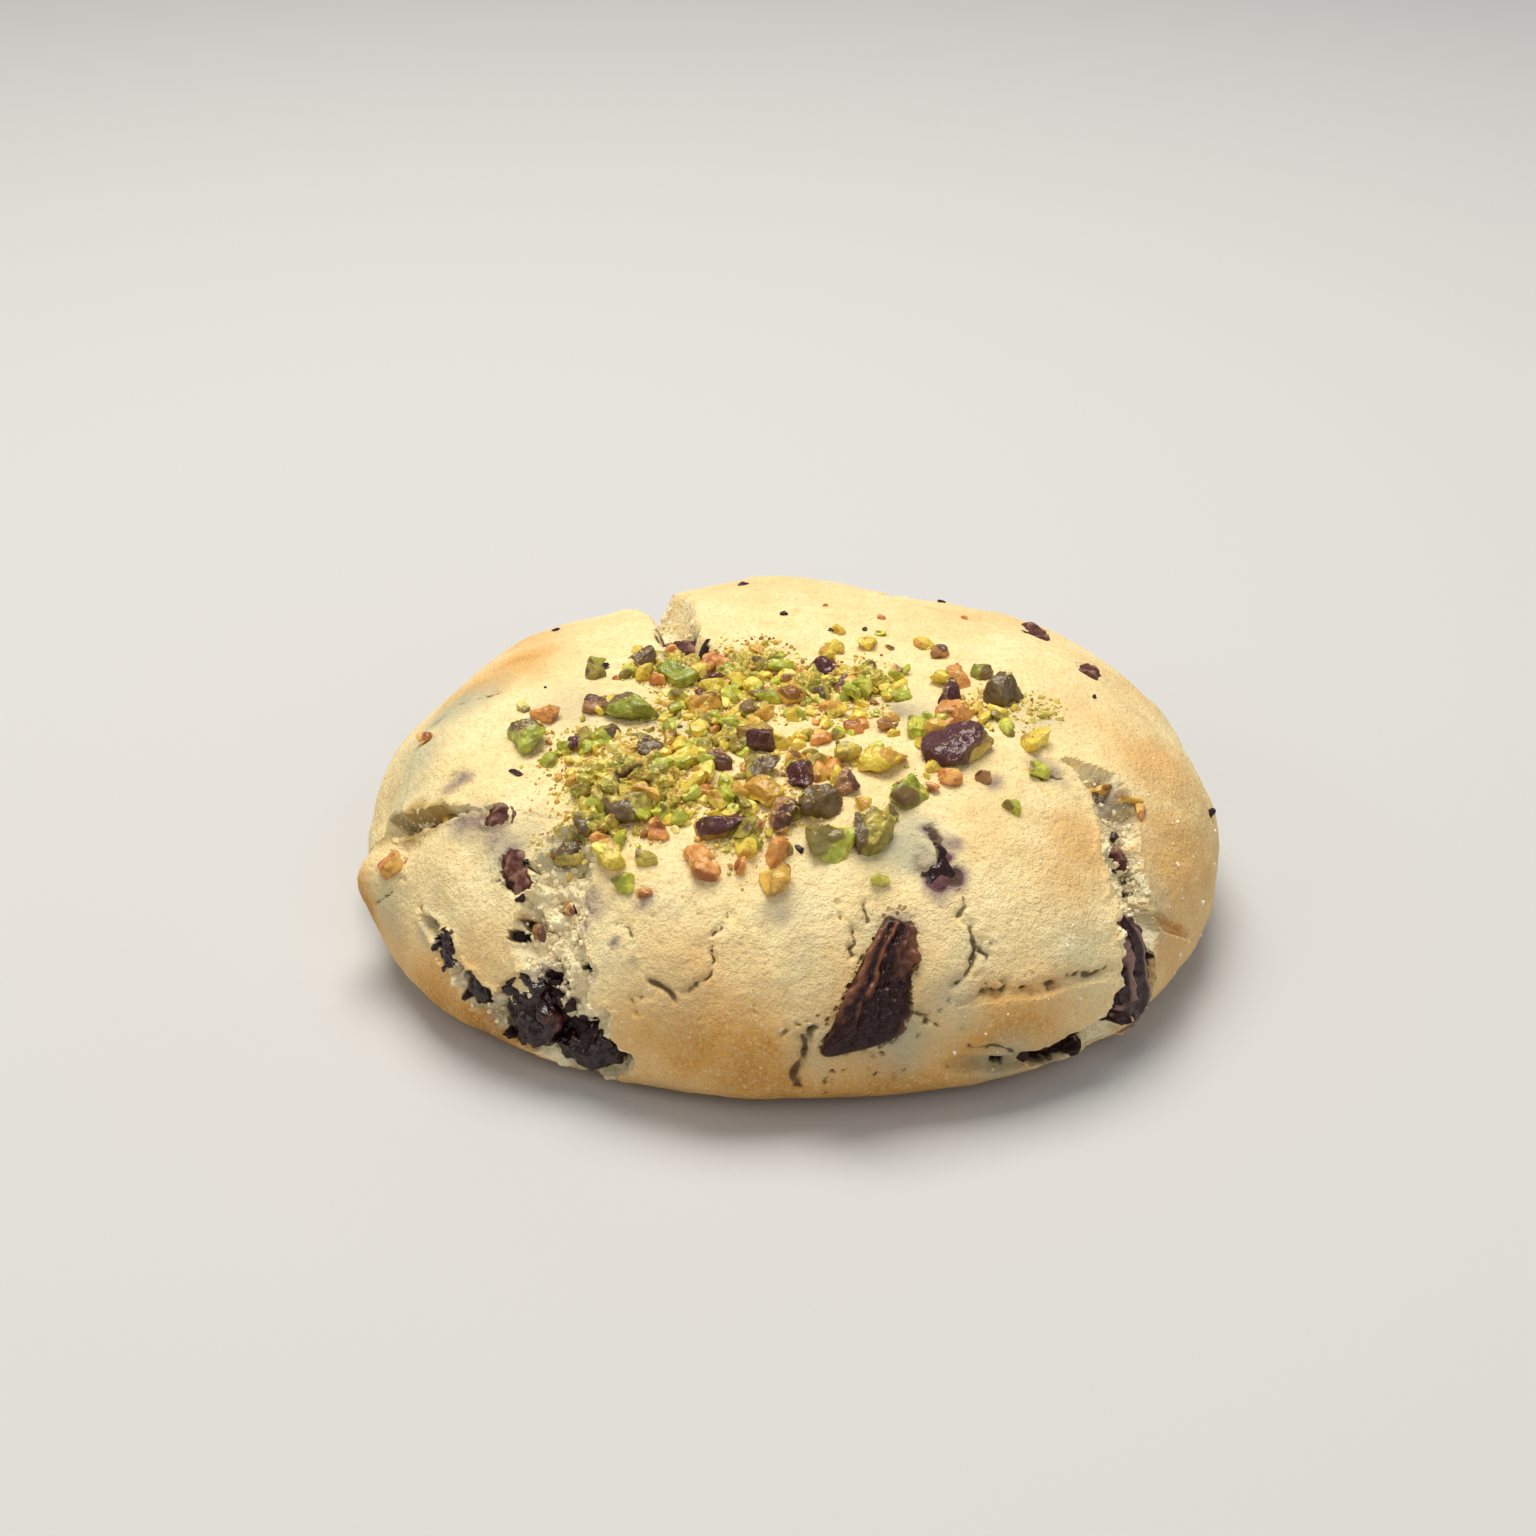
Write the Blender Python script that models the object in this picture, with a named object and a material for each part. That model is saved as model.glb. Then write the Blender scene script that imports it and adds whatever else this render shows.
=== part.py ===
"""A thick, soft-baked pistachio cookie: one lump of risen dough with split lobes, chopped
pistachios pressed into its top, and chunks of dark chocolate that break through its crust.

Every size below is in millimetres. A place on the crust is given on an unrolled plan: x to the
right and y away from the front, both measured along the crust from the middle of the top.
"""

import math
import random
from itertools import product

import bmesh
import bpy
import numpy as np
from mathutils import Matrix, Vector

MM = 0.001  # metres in a millimetre

# The risen dough, before it split
WIDTH = 100.0
DEPTH = 95.0
HEIGHT = 30.0  # of the unsagged dome
WAIST = 8.0  # height of the widest line
FOOT_WIDTH = 82.0  # the flat baked base, where it rests on the tray
CROWN_POWER = 2.8  # how flat the top stays towards the shoulder
UNDERCUT_POWER = 2.2  # how round the side tucks under
OUTLINE_MIDDLE = (-0.16, -0.21)  # of the whole uneven outline, moved to the origin

# Swells and hollows of the crust: plan x, plan y, radius, height
SWELLS = (
    (0, 0, 24, -3.0),  # the middle sagged as it cooled
    (22, 39, 14, -0.8),
    (-3, 47, 10, 0.6),
    (-23, 37, 13, -1.0),
    (-44, 12, 14, -1.6),
    (50, 4, 10, -0.7),
    (39, -50, 17, 1.9),
    (-44, -44, 14, 0.8),
    (23, -26, 9, 0.9),  # shoulder of the front right lobe
    (-12, -42, 8, 0.6),
    (-10, -57, 8, 0.8),
    (28, -51, 7, 0.9),
    (2, -50, 7, -0.7),
    (-38, -28, 8, 0.7),  # crest of the front left lobe
    (-40, -9, 9, 0.7),
    (-52, -20, 4, 3.2),  # a small ear of dough round a buried nut
    (-54, -8, 7, -2.6),
    (42, -12, 9, 0.7),
    (-4, 45, 5, 0.7),
    (-16, 52, 8, 0.6),
    (38, 32, 9, 0.5),
)

# Splits between the lobes: width at the start and the end, depth, how much higher the crust
# stands on the right hand of someone who walks along it, and the path on the plan
SPLITS = (
    # across the top to the rear
    (3.0, 9.0, 5.0, 0.6, (-7, 5), (-11, 9), (-14, 14), (-15, 21), (-17, 29), (-20, 39), (-25, 51), (-26, 62)),
    # out to the left
    (1.2, 4.6, 3.2, 1.2, (-36, -22.4), (-40, -20.6), (-45, -18.4), (-50, -14.5), (-56, -11), (-63, -8)),
    # down the front left, and along its foot
    (5.6, 10.5, 2.0, 0.0, (-22, -29), (-25.4, -34), (-27.2, -38.5), (-28.4, -43), (-28.4, -48), (-29, -56)),
    (2.6, 5.0, 1.9, 0.0, (-42.5, -39.5), (-39.5, -44), (-36.5, -48.6), (-31.5, -52.6), (-24, -57.5)),
    # behind the tongue of crust beside it
    (0.9, 2.4, 1.8, 0.3, (-45, -31), (-43.4, -34), (-41.6, -38), (-41, -42)),
    # down the right, with a branch to the rim
    (4.4, 5.4, 1.8, -0.3, (31, -16), (35, -19.5), (36.6, -24), (37.4, -29), (40, -35), (42, -41), (43, -49)),
    (2.0, 1.0, 1.6, 0.5, (42, -33), (46, -32), (52, -29)),
    # under the front right lobe
    (2.0, 4.4, 2.4, 0.0, (19, -58), (27, -56.4), (33, -54), (38, -50), (42, -46)),
    (1.2, 1.6, 0.5, 0.0, (19, -51.5), (24, -49), (28, -47.6), (33, -44.4), (38, -41.6)),
    # round the back
    (1.8, 6.0, 3.6, -0.5, (12, 31), (17, 38), (20, 46), (26, 53), (27, 62)),
    (1.2, 3.4, 2.6, 0.6, (48, 20), (51, 27), (48, 35)),
    (1.4, 4.6, 3.0, 0.4, (-38, 26), (-44, 33), (-50, 36), (-54, 40)),
)

# Chocolate chunks: plan x and y of the middle, length, breadth and thickness, turn in degrees
# from straight down the side, how far the lower end is wider, how far it slants, how square the
# chunk is, and how proud it stands of the crust as it was before it split
CHUNKS = {
    "chocolate_front": (10.1, -50.8, 14.0, 5.7, 5.6, -25, 0.36, 0.6, 4.5, 0.7),
    "chocolate_right": (43.2, -39.8, 13.5, 5.0, 5.0, 4, 0.10, 0.0, 2.8, -0.6),
    "chocolate_low_left": (-34.6, -48.4, 8.6, 6.2, 4.4, 20, 0.10, 0.0, 2.8, -0.7),
    "chocolate_low_front": (-28.6, -55.6, 7.4, 4.2, 3.6, -75, -0.20, 0.0, 2.8, -0.7),
    "chocolate_left_rim": (-42, -37, 5.0, 3.6, 3.6, 8, 0.0, 0.0, 2.8, 0.0),
    "chocolate_left_corner": (-40.2, -43.2, 4.2, 3.2, 3.2, 40, 0.0, 0.0, 2.8, -0.6),
    "chocolate_left_crown": (-32.6, -25.2, 4.0, 4.4, 3.0, 20, 0.0, 0.0, 2.8, 0.2),
    "chocolate_left_split": (-31, -33, 6.4, 3.2, 3.2, 55, 0.1, 0.0, 2.8, 0.0),
    "chocolate_front_crown": (16, -36.6, 7.4, 4.6, 4.0, 10, 0.1, 0.0, 2.8, 0.1),
    "chocolate_right_crown": (36, 8, 4.6, 3.4, 3.0, 60, 0.0, 0.0, 2.8, 0.5),
    "chocolate_right_split": (37.6, -27.8, 3.2, 2.6, 2.8, 10, 0.0, 0.0, 2.8, -0.9),
    "chocolate_notch": (-14, 15, 6.0, 4.4, 4.0, 70, 0.0, 0.0, 2.8, -1.9),
    "chocolate_rear_rim": (31, 19, 8.0, 3.0, 3.0, 62, 0.0, 0.0, 2.8, 0.5),
    "chocolate_rear_right": (24, 53, 12.0, 6.0, 5.0, 12, 0.2, 0.0, 2.8, -1.2),
    "chocolate_rear_notch": (-24, 54, 9.0, 7.0, 5.0, 30, 0.1, 0.0, 2.8, -1.6),
    "chocolate_rear": (2, 55, 10.0, 6.4, 4.6, -35, 0.2, 0.0, 2.8, 0.8),
    "chocolate_rear_left": (-50, 35, 6.0, 4.4, 4.0, 40, 0.0, 0.0, 2.8, -1.0),
}
CHUNK_GAP = 0.5  # between the chocolate and the pocket that it sits in
CHUNK_WEAR = (3.0, 0.10, 21)  # unevenness of its sides: size, share, seed
LEVEL_CRUST = 0.9  # where the crust is as level as this, straight down means away from the middle

# The larger pieces of pistachio: plan x and y, length, breadth and height, turn in degrees
KERNELS = (
    (-30, -13, 5.8, 4.8, 3.6, 20),
    (-18, -9, 6.2, 4.6, 3.8, 35),
    (-28, -8, 3.8, 2.6, 2.0, 60),
    (-22, -7, 3.6, 3.0, 2.0, 10),
    (-24, -15, 3.8, 2.8, 2.4, 120),
    (-21, -14, 3.4, 2.8, 2.2, 40),
    (-13, 1, 5.6, 4.6, 3.0, 15),
    (-9, 6, 4.2, 2.8, 2.2, 150),
    (-9, 1, 3.2, 2.8, 2.2, 75),
    (-17, 5, 3.8, 2.8, 2.4, 20),
    (-10, -7, 4.2, 4.0, 3.0, 100),
    (-4, -17, 4.4, 3.8, 3.4, 10),
    (-4, -23, 4.2, 3.4, 2.8, 70),
    (-8, -21, 3.2, 3.2, 2.6, 0),
    (-16, -18, 3.4, 2.8, 2.6, 140),
    (-16, -23, 3.8, 3.2, 2.8, 80),
    (-18, -28, 5.4, 4.8, 3.4, 40),
    (-22, -29, 4.4, 4.4, 2.8, 120),
    (-20, -35, 3.6, 4.0, 3.2, 95),
    (-25, -32, 3.6, 2.6, 2.2, 30),
    (-8, -33, 5.4, 3.4, 2.8, 5),
    (-10, -38, 4.8, 3.2, 2.6, 160),
    (-2, -40, 3.6, 3.0, 2.4, 45),
    (-3, -28, 4.8, 4.4, 3.2, 10),
    (1, -25, 4.2, 2.8, 2.8, 80),
    (6, -26, 3.2, 3.2, 2.8, 0),
    (3, -30, 5.2, 3.6, 3.2, 25),
    (-1, -32, 4.2, 3.4, 3.0, 110),
    (4, -35, 5.6, 5.0, 3.8, 50),
    (9, -34, 5.2, 4.6, 4.0, 75),
    (10, -21, 5.8, 5.0, 3.2, 165),
    (6, -20, 2.4, 3.6, 3.0, 100),
    (13, -27, 4.8, 3.6, 3.0, 15),
    (18, -18, 8.8, 6.2, 4.4, 5),
    (14, -14, 3.6, 2.6, 2.2, 60),
    (18, -11, 5.2, 3.2, 2.6, 170),
    (18, -6, 5.8, 3.0, 3.0, 10),
    (24, -5, 5.0, 4.6, 4.2, 130),
    (19, -1, 3.8, 3.0, 2.2, 20),
    (12, -4, 4.0, 2.8, 2.0, 95),
    (4, 2, 3.8, 3.6, 3.0, 30),
    (27, -14, 4.2, 2.8, 2.2, 0),
    (7, -2, 5.0, 3.2, 2.4, 140),
    (0, -5, 4.0, 3.6, 2.6, 60),
)
LARGE_KERNEL = 5.0  # a longer piece gets finer faces
KERNEL_SUNK = 0.30  # share of its height that a piece is pressed into the dough
KERNEL_CORNERS = (0.82, 1.12)  # shares of its half size that its corners lie out at
KERNEL_TILT = 0.3

# The chips sprinkled between them
CHIP_SEED = 11
CHIP_COUNT = 46
CHIP_SIZE = (1.9, 3.1)
SPRINKLE_MIDDLE = (-2, -14)
SPRINKLE_RADIUS = 30.0
SPRINKLE_CROWDING = 0.62  # below 1, more chips lie towards the rim of the sprinkle
CHIP_BREADTH = 0.8  # share of its length
CHIP_HEIGHT = 0.75
CHIP_GAP = 0.9  # least distance between two pieces, as a share of their mean length
CLEAR_OF_CHOCOLATE = 1.2

# How the crust is shaped: its own unevenness as size, height and seed, and its splits
BUMPS = ((12.0, 0.45, 1), (5.0, 0.22, 2))
FOOT_FADE = 7.0  # the crust's relief dies away over this stretch above the base
POINTED = 0.12  # a split opens from a point over this share of its length
POINT_WIDTH = 0.25  # share of its width that it starts with
DEEPENING = 0.25  # it gets to its full depth over this share of its length
POINT_DEPTH = 0.4  # share of its depth that it starts with
WANDER = ((3.2, 0.28, 5), (1.5, 0.14, 6))  # unevenness of its width: size, share, seed
WALL = (0.55, 1.05)  # shares of its half width between which its wall rises
LIP = (0.10, 1.5, 0.5, 0.6)  # share of its depth, place and spread in half widths, mm more
STEP_REACH = 7.0  # two lobes are level again about this far from the split
VALLEY = (0.25, 4.0)  # the crust beside it sinks by this share of its depth, this far

NOISE_GAIN = 1.7
SEED_SHIFT = 7.31
SPHERE_LEVEL = 7  # of the ball that the dough is shaped from
FOOT_POLAR = 0.78  # share of the ball's half turn at which the base begins
DOUGH_FACES = 4300  # kept of it
FLAT_FOOT = 0.05  # corners nearer to the base than this lie on it
PATH_PARTS = 3  # straight stretches between two points of a split's path
MERIDIAN_STEPS = 400
STEEP = 0.7  # a path that climbs faster than this takes its right hand from the side


# ---- noise and the unsplit form ----

LATTICE = np.random.default_rng(3).normal(size=(256, 3))
LATTICE /= np.linalg.norm(LATTICE, axis=1, keepdims=True)


def grain_noise(points, size, seed):
    """Smooth noise from about -1 to 1 whose bumps are `size` mm across."""
    scaled = points / size + seed * SEED_SHIFT
    cell = np.floor(scaled).astype(np.int64)
    inside = scaled - cell
    fade = inside**3 * (inside * (inside * 6 - 15) + 10)
    total = np.zeros(len(points))
    for corner in product((0, 1), repeat=3):
        at = cell + corner
        mixed = (at[:, 0] * 73856093) ^ (at[:, 1] * 19349663) ^ (at[:, 2] * 83492791)
        slope = LATTICE[(mixed ^ (mixed >> 11)) & 255]
        share = np.prod(np.where(corner, fade, 1 - fade), axis=1)
        total += share * ((inside - corner) * slope).sum(1)
    return total * NOISE_GAIN


def unevenness(points, layers):
    """The sum of some layers of noise, each a size, a height and a seed."""
    return sum(height * grain_noise(points, size, seed) for size, height, seed in layers)


def smoothstep(low, high, value):
    share = np.clip((value - low) / (high - low), 0, 1)
    return share * share * (3 - 2 * share)


def meridian():
    """One half section of the dough: length along the crust, share of the radius, height."""
    radius, foot = WIDTH / 2, FOOT_WIDTH / 2
    share = 1 - (1 - np.linspace(0, 1, MERIDIAN_STEPS)) ** 2
    top = np.sqrt((1 - share**CROWN_POWER).clip(0))
    fall = np.linspace(0, 1, MERIDIAN_STEPS)[1:]
    tuck = (1 - fall**UNDERCUT_POWER).clip(0) ** (1 / UNDERCUT_POWER)
    across = np.concatenate([share * radius, foot + (radius - foot) * tuck, [0]])
    height = np.concatenate([WAIST + (HEIGHT - WAIST) * top, WAIST * (1 - fall), [0]])
    length = np.concatenate([[0], np.cumsum(np.hypot(np.diff(across), np.diff(height)))])
    return length, across / radius, height


REACH, SPREAD, RISE = meridian()
FOOT_REACH, FULL_REACH = REACH[-2], REACH[-1]


def smooth_point(bearing, reach):
    """The point of the unsplit form `reach` mm along the crust from the middle of the top."""
    radius = 1 / np.hypot(np.cos(bearing) / (WIDTH / 2), np.sin(bearing) / (DEPTH / 2))
    out = radius * np.interp(reach, REACH, SPREAD)
    return np.stack([out * np.cos(bearing), out * np.sin(bearing), np.interp(reach, REACH, RISE)], -1)


def outward(bearing, reach):
    """The crust's outward direction there, kept level below the waist."""
    step, turn = 0.05, 0.001
    near = np.clip(reach, 0.3, FOOT_REACH - 0.3)
    down = smooth_point(bearing, near + step) - smooth_point(bearing, near - step)
    round_it = smooth_point(bearing + turn, near) - smooth_point(bearing - turn, near)
    normal = np.cross(down, round_it)
    normal[:, 2] = normal[:, 2].clip(0)
    return normal / np.linalg.norm(normal, axis=1, keepdims=True)


def on_plan(places):
    """Points of the unsplit form at places on the unrolled plan."""
    places = np.asarray(places, float)
    return smooth_point(np.arctan2(places[:, 1], places[:, 0]), np.hypot(places[:, 0], places[:, 1]))


def on_crust(path):
    """The path's points on the unsplit form, with enough between them to follow its curve."""
    knots = np.arange(len(path))
    finer = np.linspace(0, len(path) - 1, PATH_PARTS * (len(path) - 1) + 1)
    return on_plan(np.stack([np.interp(finer, knots, axis) for axis in np.transpose(path)], 1))


# ---- the split crust ----


def beside(points, path):
    """Distance from a path on the crust, the side (1 right, -1 left) and the share along it."""
    route = on_crust(path)
    lengths = np.linalg.norm(np.diff(route, axis=0), axis=1)
    nearest = np.full(len(points), np.inf)
    side, along = np.ones(len(points)), np.zeros(len(points))
    walked = 0.0
    for start, end, length in zip(route[:-1], route[1:], lengths):
        ahead = (end - start) / length
        share = np.clip((points - start) @ ahead, 0, length)
        off = points - start - share[:, None] * ahead
        distance = np.linalg.norm(off, axis=1)
        closer = distance < nearest
        upward = np.array([0, 0, 1.0]) if abs(ahead[2]) < STEEP else (start + end) / 2
        right = np.cross(ahead, upward)
        nearest[closer] = distance[closer]
        side[closer] = np.sign(off[closer] @ right)
        along[closer] = (walked + share[closer]) / lengths.sum()
        walked += length
    return nearest, side, along


def split_relief(points, start_width, end_width, depth, step, *path):
    """How far a split lifts the crust beside it, and how far it opens it."""
    distance, side, along = beside(points, path)
    half = (start_width + (end_width - start_width) * along) / 2
    half *= POINT_WIDTH + (1 - POINT_WIDTH) * smoothstep(0, POINTED, along)
    half *= 1 + unevenness(points, WANDER)
    floor = 1 - smoothstep(*WALL, distance / half)
    lip, place, spread, more = LIP
    rim = lip * depth * np.exp(-(((distance - half * place) / (half * spread + more)) ** 2))
    raised = (rim + step * side * np.exp(-distance / STEP_REACH) / 2) * (1 - floor)
    share, reach = VALLEY
    valley = share * np.exp(-((distance / (half + reach)) ** 2))
    deepening = POINT_DEPTH + (1 - POINT_DEPTH) * smoothstep(0, DEEPENING, along)
    return deepening * raised, deepening * depth * np.maximum(floor, valley)


def crust(bearing, reach, splits=SPLITS):
    """Points of the risen and split crust, and its outward directions."""
    points, normals = smooth_point(bearing, reach), outward(bearing, reach)
    lift = unevenness(points, BUMPS)
    for x, y, radius, height in SWELLS:
        middle = on_plan([(x, y)])[0]
        lift += height * np.exp(-((points - middle) ** 2).sum(1) / radius**2)
    opened = np.zeros(len(points))
    for row in splits:
        raised, cut = split_relief(points, *row)
        lift += raised
        opened = np.maximum(opened, cut)
    lift = (lift - opened) * smoothstep(0, FOOT_FADE, FOOT_REACH - reach)
    points = points + normals * lift[:, None]
    points[:, :2] -= OUTLINE_MIDDLE
    points[:, 2] = points[:, 2].clip(0)
    return points, normals


def seat(x, y, splits=SPLITS):
    """Where a piece sits on the crust: the point and the outward direction."""
    bearing, reach = np.array([math.atan2(y, x)]), np.array([math.hypot(x, y)])
    point, normal = crust(bearing, reach, splits)
    return Vector(point[0]), Vector(normal[0])


# ---- meshes ----


def collection(name):
    made = bpy.data.collections.new(name)
    bpy.context.scene.collection.children.link(made)
    return made


def finish(name, colour, roughness):
    """A plain Principled finish."""
    material = bpy.data.materials.new(name)
    material.use_nodes = True
    shader = material.node_tree.nodes["Principled BSDF"]
    shader.inputs["Base Color"].default_value = (*colour, 1)
    shader.inputs["Roughness"].default_value = roughness
    return material


def ball(level):
    """A unit ball of triangles."""
    mesh = bmesh.new()
    bmesh.ops.create_icosphere(mesh, subdivisions=level, radius=1)
    return mesh


def points_of(mesh):
    return np.array([vertex.co for vertex in mesh.verts])


def move_to(mesh, points):
    for vertex, point in zip(mesh.verts, points):
        vertex.co = point


def to_object(mesh, name, group, material=None):
    """The bmesh in millimetres as an object in metres."""
    bmesh.ops.scale(mesh, vec=(MM, MM, MM), verts=mesh.verts)
    bmesh.ops.recalc_face_normals(mesh, faces=mesh.faces)
    data = bpy.data.meshes.new(name)
    mesh.to_mesh(data)
    mesh.free()
    if material:
        data.materials.append(material)
    made = bpy.data.objects.new(name, data)
    group.objects.link(made)
    return made


def apply_modifiers(thing):
    """Replace the object's mesh by what its modifiers make of it."""
    evaluated = thing.evaluated_get(bpy.context.evaluated_depsgraph_get())
    data = bpy.data.meshes.new_from_object(evaluated)
    thing.modifiers.clear()
    thing.data = data


def as_cutters(group):
    """Keep a collection's objects out of the finished cookie."""
    for thing in group.objects:
        thing.hide_render = True
        thing.display_type = "WIRE"


def combine(thing, operation, group):
    """Join or cut a whole collection, then remove it."""
    as_cutters(group)
    boolean = thing.modifiers.new(operation.title(), "BOOLEAN")
    boolean.operation = operation
    boolean.operand_type = "COLLECTION"
    boolean.collection = group
    boolean.solver = "EXACT"
    apply_modifiers(thing)
    for used in list(group.objects):
        bpy.data.objects.remove(used, do_unlink=True)


def volume_of(faces):
    return sum(
        face.verts[0].co.dot(face.verts[1].co.cross(face.verts[2].co)) / 6 for face in faces
    )


def keep_largest_body(thing):
    """Drop loose scraps and sealed hollows that joining and cutting leave."""
    mesh = bmesh.new()
    mesh.from_mesh(thing.data)
    bmesh.ops.triangulate(mesh, faces=mesh.faces)
    unseen, bodies = set(mesh.faces), []
    while unseen:
        edge_of_search = [unseen.pop()]
        body = []
        while edge_of_search:
            face = edge_of_search.pop()
            body.append(face)
            joining = [edge for edge in face.edges if len(edge.link_faces) == 2]
            for other in {near for edge in joining for near in edge.link_faces} & unseen:
                unseen.remove(other)
                edge_of_search.append(other)
        bodies.append(body)
    bodies.sort(key=volume_of)
    for body in bodies[:-1]:
        bmesh.ops.delete(mesh, geom=body, context="FACES")
    loose = [vertex for vertex in mesh.verts if not vertex.link_faces]
    bmesh.ops.delete(mesh, geom=loose, context="VERTS")
    mesh.to_mesh(thing.data)
    mesh.free()


# ---- the pieces ----


def dough(group, material):
    """The lump of dough: a ball drawn out to the section, split and thinned to a few faces."""
    mesh = ball(SPHERE_LEVEL)
    unit = points_of(mesh)
    bearing = np.arctan2(unit[:, 1], unit[:, 0])
    polar = np.arccos(unit[:, 2].clip(-1, 1)) / math.pi
    reach = np.interp(polar, (0, FOOT_POLAR, 1), (0, FOOT_REACH, FULL_REACH))
    move_to(mesh, crust(bearing, reach)[0])
    made = to_object(mesh, "cookie", group, material)
    thin = made.modifiers.new("Thin", "DECIMATE")
    thin.ratio = DOUGH_FACES / len(made.data.polygons)
    apply_modifiers(made)
    for vertex in made.data.vertices:
        if vertex.co.z < FLAT_FOOT * MM:
            vertex.co.z = 0
    return made


def chunk_mesh(row, level):
    """A chunk of chocolate with squared sides and broken corners."""
    x, y, length, breadth, thickness, turn, flare, slant, squareness, proud = row
    mesh = ball(level)
    unit = points_of(mesh)
    square = np.abs(unit) ** (2 / squareness) * np.sign(unit)
    size = np.array([length, breadth, thickness]) / 2
    worn = 1 + unevenness(unit * size + x, (CHUNK_WEAR,))
    shape = square * size * worn[:, None]
    share = shape[:, 0] / size[0]
    shape[:, 1] *= 1 + flare * share
    shape[:, 0] -= slant * shape[:, 1] * (1 + share) / 2
    point, normal = seat(x, y, splits=())
    down = Vector((0, 0, -1)) if normal.z < LEVEL_CRUST else Vector((point.x, point.y, 0))
    down = (down - down.dot(normal) * normal).normalized()
    down.rotate(Matrix.Rotation(math.radians(turn), 3, normal))
    frame = Matrix((down, normal.cross(down), normal)).transposed()
    middle = point + normal * (proud - thickness / 2)
    move_to(mesh, [frame @ Vector(corner) + middle for corner in shape])
    return mesh


def pocket_for(mesh):
    """The chunk's mesh moved outward all round: the hollow that it sits in."""
    mesh.normal_update()
    for vertex in mesh.verts:
        vertex.co += vertex.normal * CHUNK_GAP
    return mesh


def kernel_mesh(x, y, length, breadth, height, turn, draw):
    """A broken piece of pistachio: a ball with few faces, its corners drawn in and out."""
    mesh = ball(2 if length > LARGE_KERNEL else 1)
    half = Vector((length, breadth, height)) / 2
    point, normal = seat(x, y)
    frame = normal.to_track_quat("Z", "Y").to_matrix()
    frame = frame @ Matrix.Rotation(math.radians(turn), 3, "Z")
    frame = frame @ Matrix.Rotation(KERNEL_TILT * math.sin(turn), 3, "X")
    middle = point + normal * height * (0.5 - KERNEL_SUNK)
    for vertex in mesh.verts:
        corner = vertex.co * draw.uniform(*KERNEL_CORNERS)
        vertex.co = frame @ Vector(a * b for a, b in zip(corner, half)) + middle
    return mesh


def clear_of_chocolate(x, y, size):
    """Whether a piece this long would keep off every chunk."""
    return all(
        math.hypot(x - row[0], y - row[1]) > size / 2 + row[2] / 2 + CLEAR_OF_CHOCOLATE
        for row in CHUNKS.values()
    )


def chips(draw):
    """The small chips: thickest in the middle of the sprinkle, none on another or on chocolate."""
    placed = [row[:3] for row in KERNELS]
    rows = []
    while len(rows) < CHIP_COUNT:
        out = SPRINKLE_RADIUS * draw.random() ** SPRINKLE_CROWDING
        bearing = draw.uniform(0, math.tau)
        x = SPRINKLE_MIDDLE[0] + out * math.cos(bearing)
        y = SPRINKLE_MIDDLE[1] + out * math.sin(bearing)
        length = draw.uniform(*CHIP_SIZE)
        turn = draw.uniform(0, 180)
        free = all(
            math.hypot(x - px, y - py) > CHIP_GAP * (length + size) / 2 for px, py, size in placed
        )
        if free and clear_of_chocolate(x, y, length):
            placed.append((x, y, length))
            rows.append((x, y, length, length * CHIP_BREADTH, length * CHIP_HEIGHT, turn))
    return rows


def build():
    for old in list(bpy.data.objects):
        bpy.data.objects.remove(old, do_unlink=True)
    group = collection("pistachio_cookie")
    pockets, toppings = collection("pockets"), collection("toppings")
    baked = finish("baked_dough", (0.76, 0.56, 0.30), 0.85)
    dark = finish("dark_chocolate", (0.045, 0.014, 0.010), 0.35)

    cookie = dough(group, baked)
    for name, row in CHUNKS.items():
        level = 3 if name == "chocolate_front" else 2
        to_object(pocket_for(chunk_mesh(row, level)), name + "_pocket", pockets)
        to_object(chunk_mesh(row, level), name, group, dark)
    combine(cookie, "DIFFERENCE", pockets)
    keep_largest_body(cookie)

    draw = random.Random(CHIP_SEED)
    for number, row in enumerate(KERNELS + tuple(chips(draw))):
        to_object(kernel_mesh(*row, draw), f"pistachio_{number}", toppings)
    combine(cookie, "UNION", toppings)
    keep_largest_body(cookie)
    for spare in (pockets, toppings):
        bpy.data.collections.remove(spare)


build()
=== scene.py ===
"""The looks of a thick, soft-baked pistachio cookie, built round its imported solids.

The dough, the chopped pistachios and the chocolate are modelled again at the places and sizes of
the solids, with the broken crust, crumb, cracks, folds and dust that those leave out. Sizes are
in millimetres until a mesh is made. A place on the crust is given on an unrolled plan: x to the
right and y away from the front, both measured along the crust from the middle of the top.
"""

import math
import random
from itertools import product

import bmesh
import bpy
import numpy as np
from mathutils import Matrix, Vector


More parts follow.
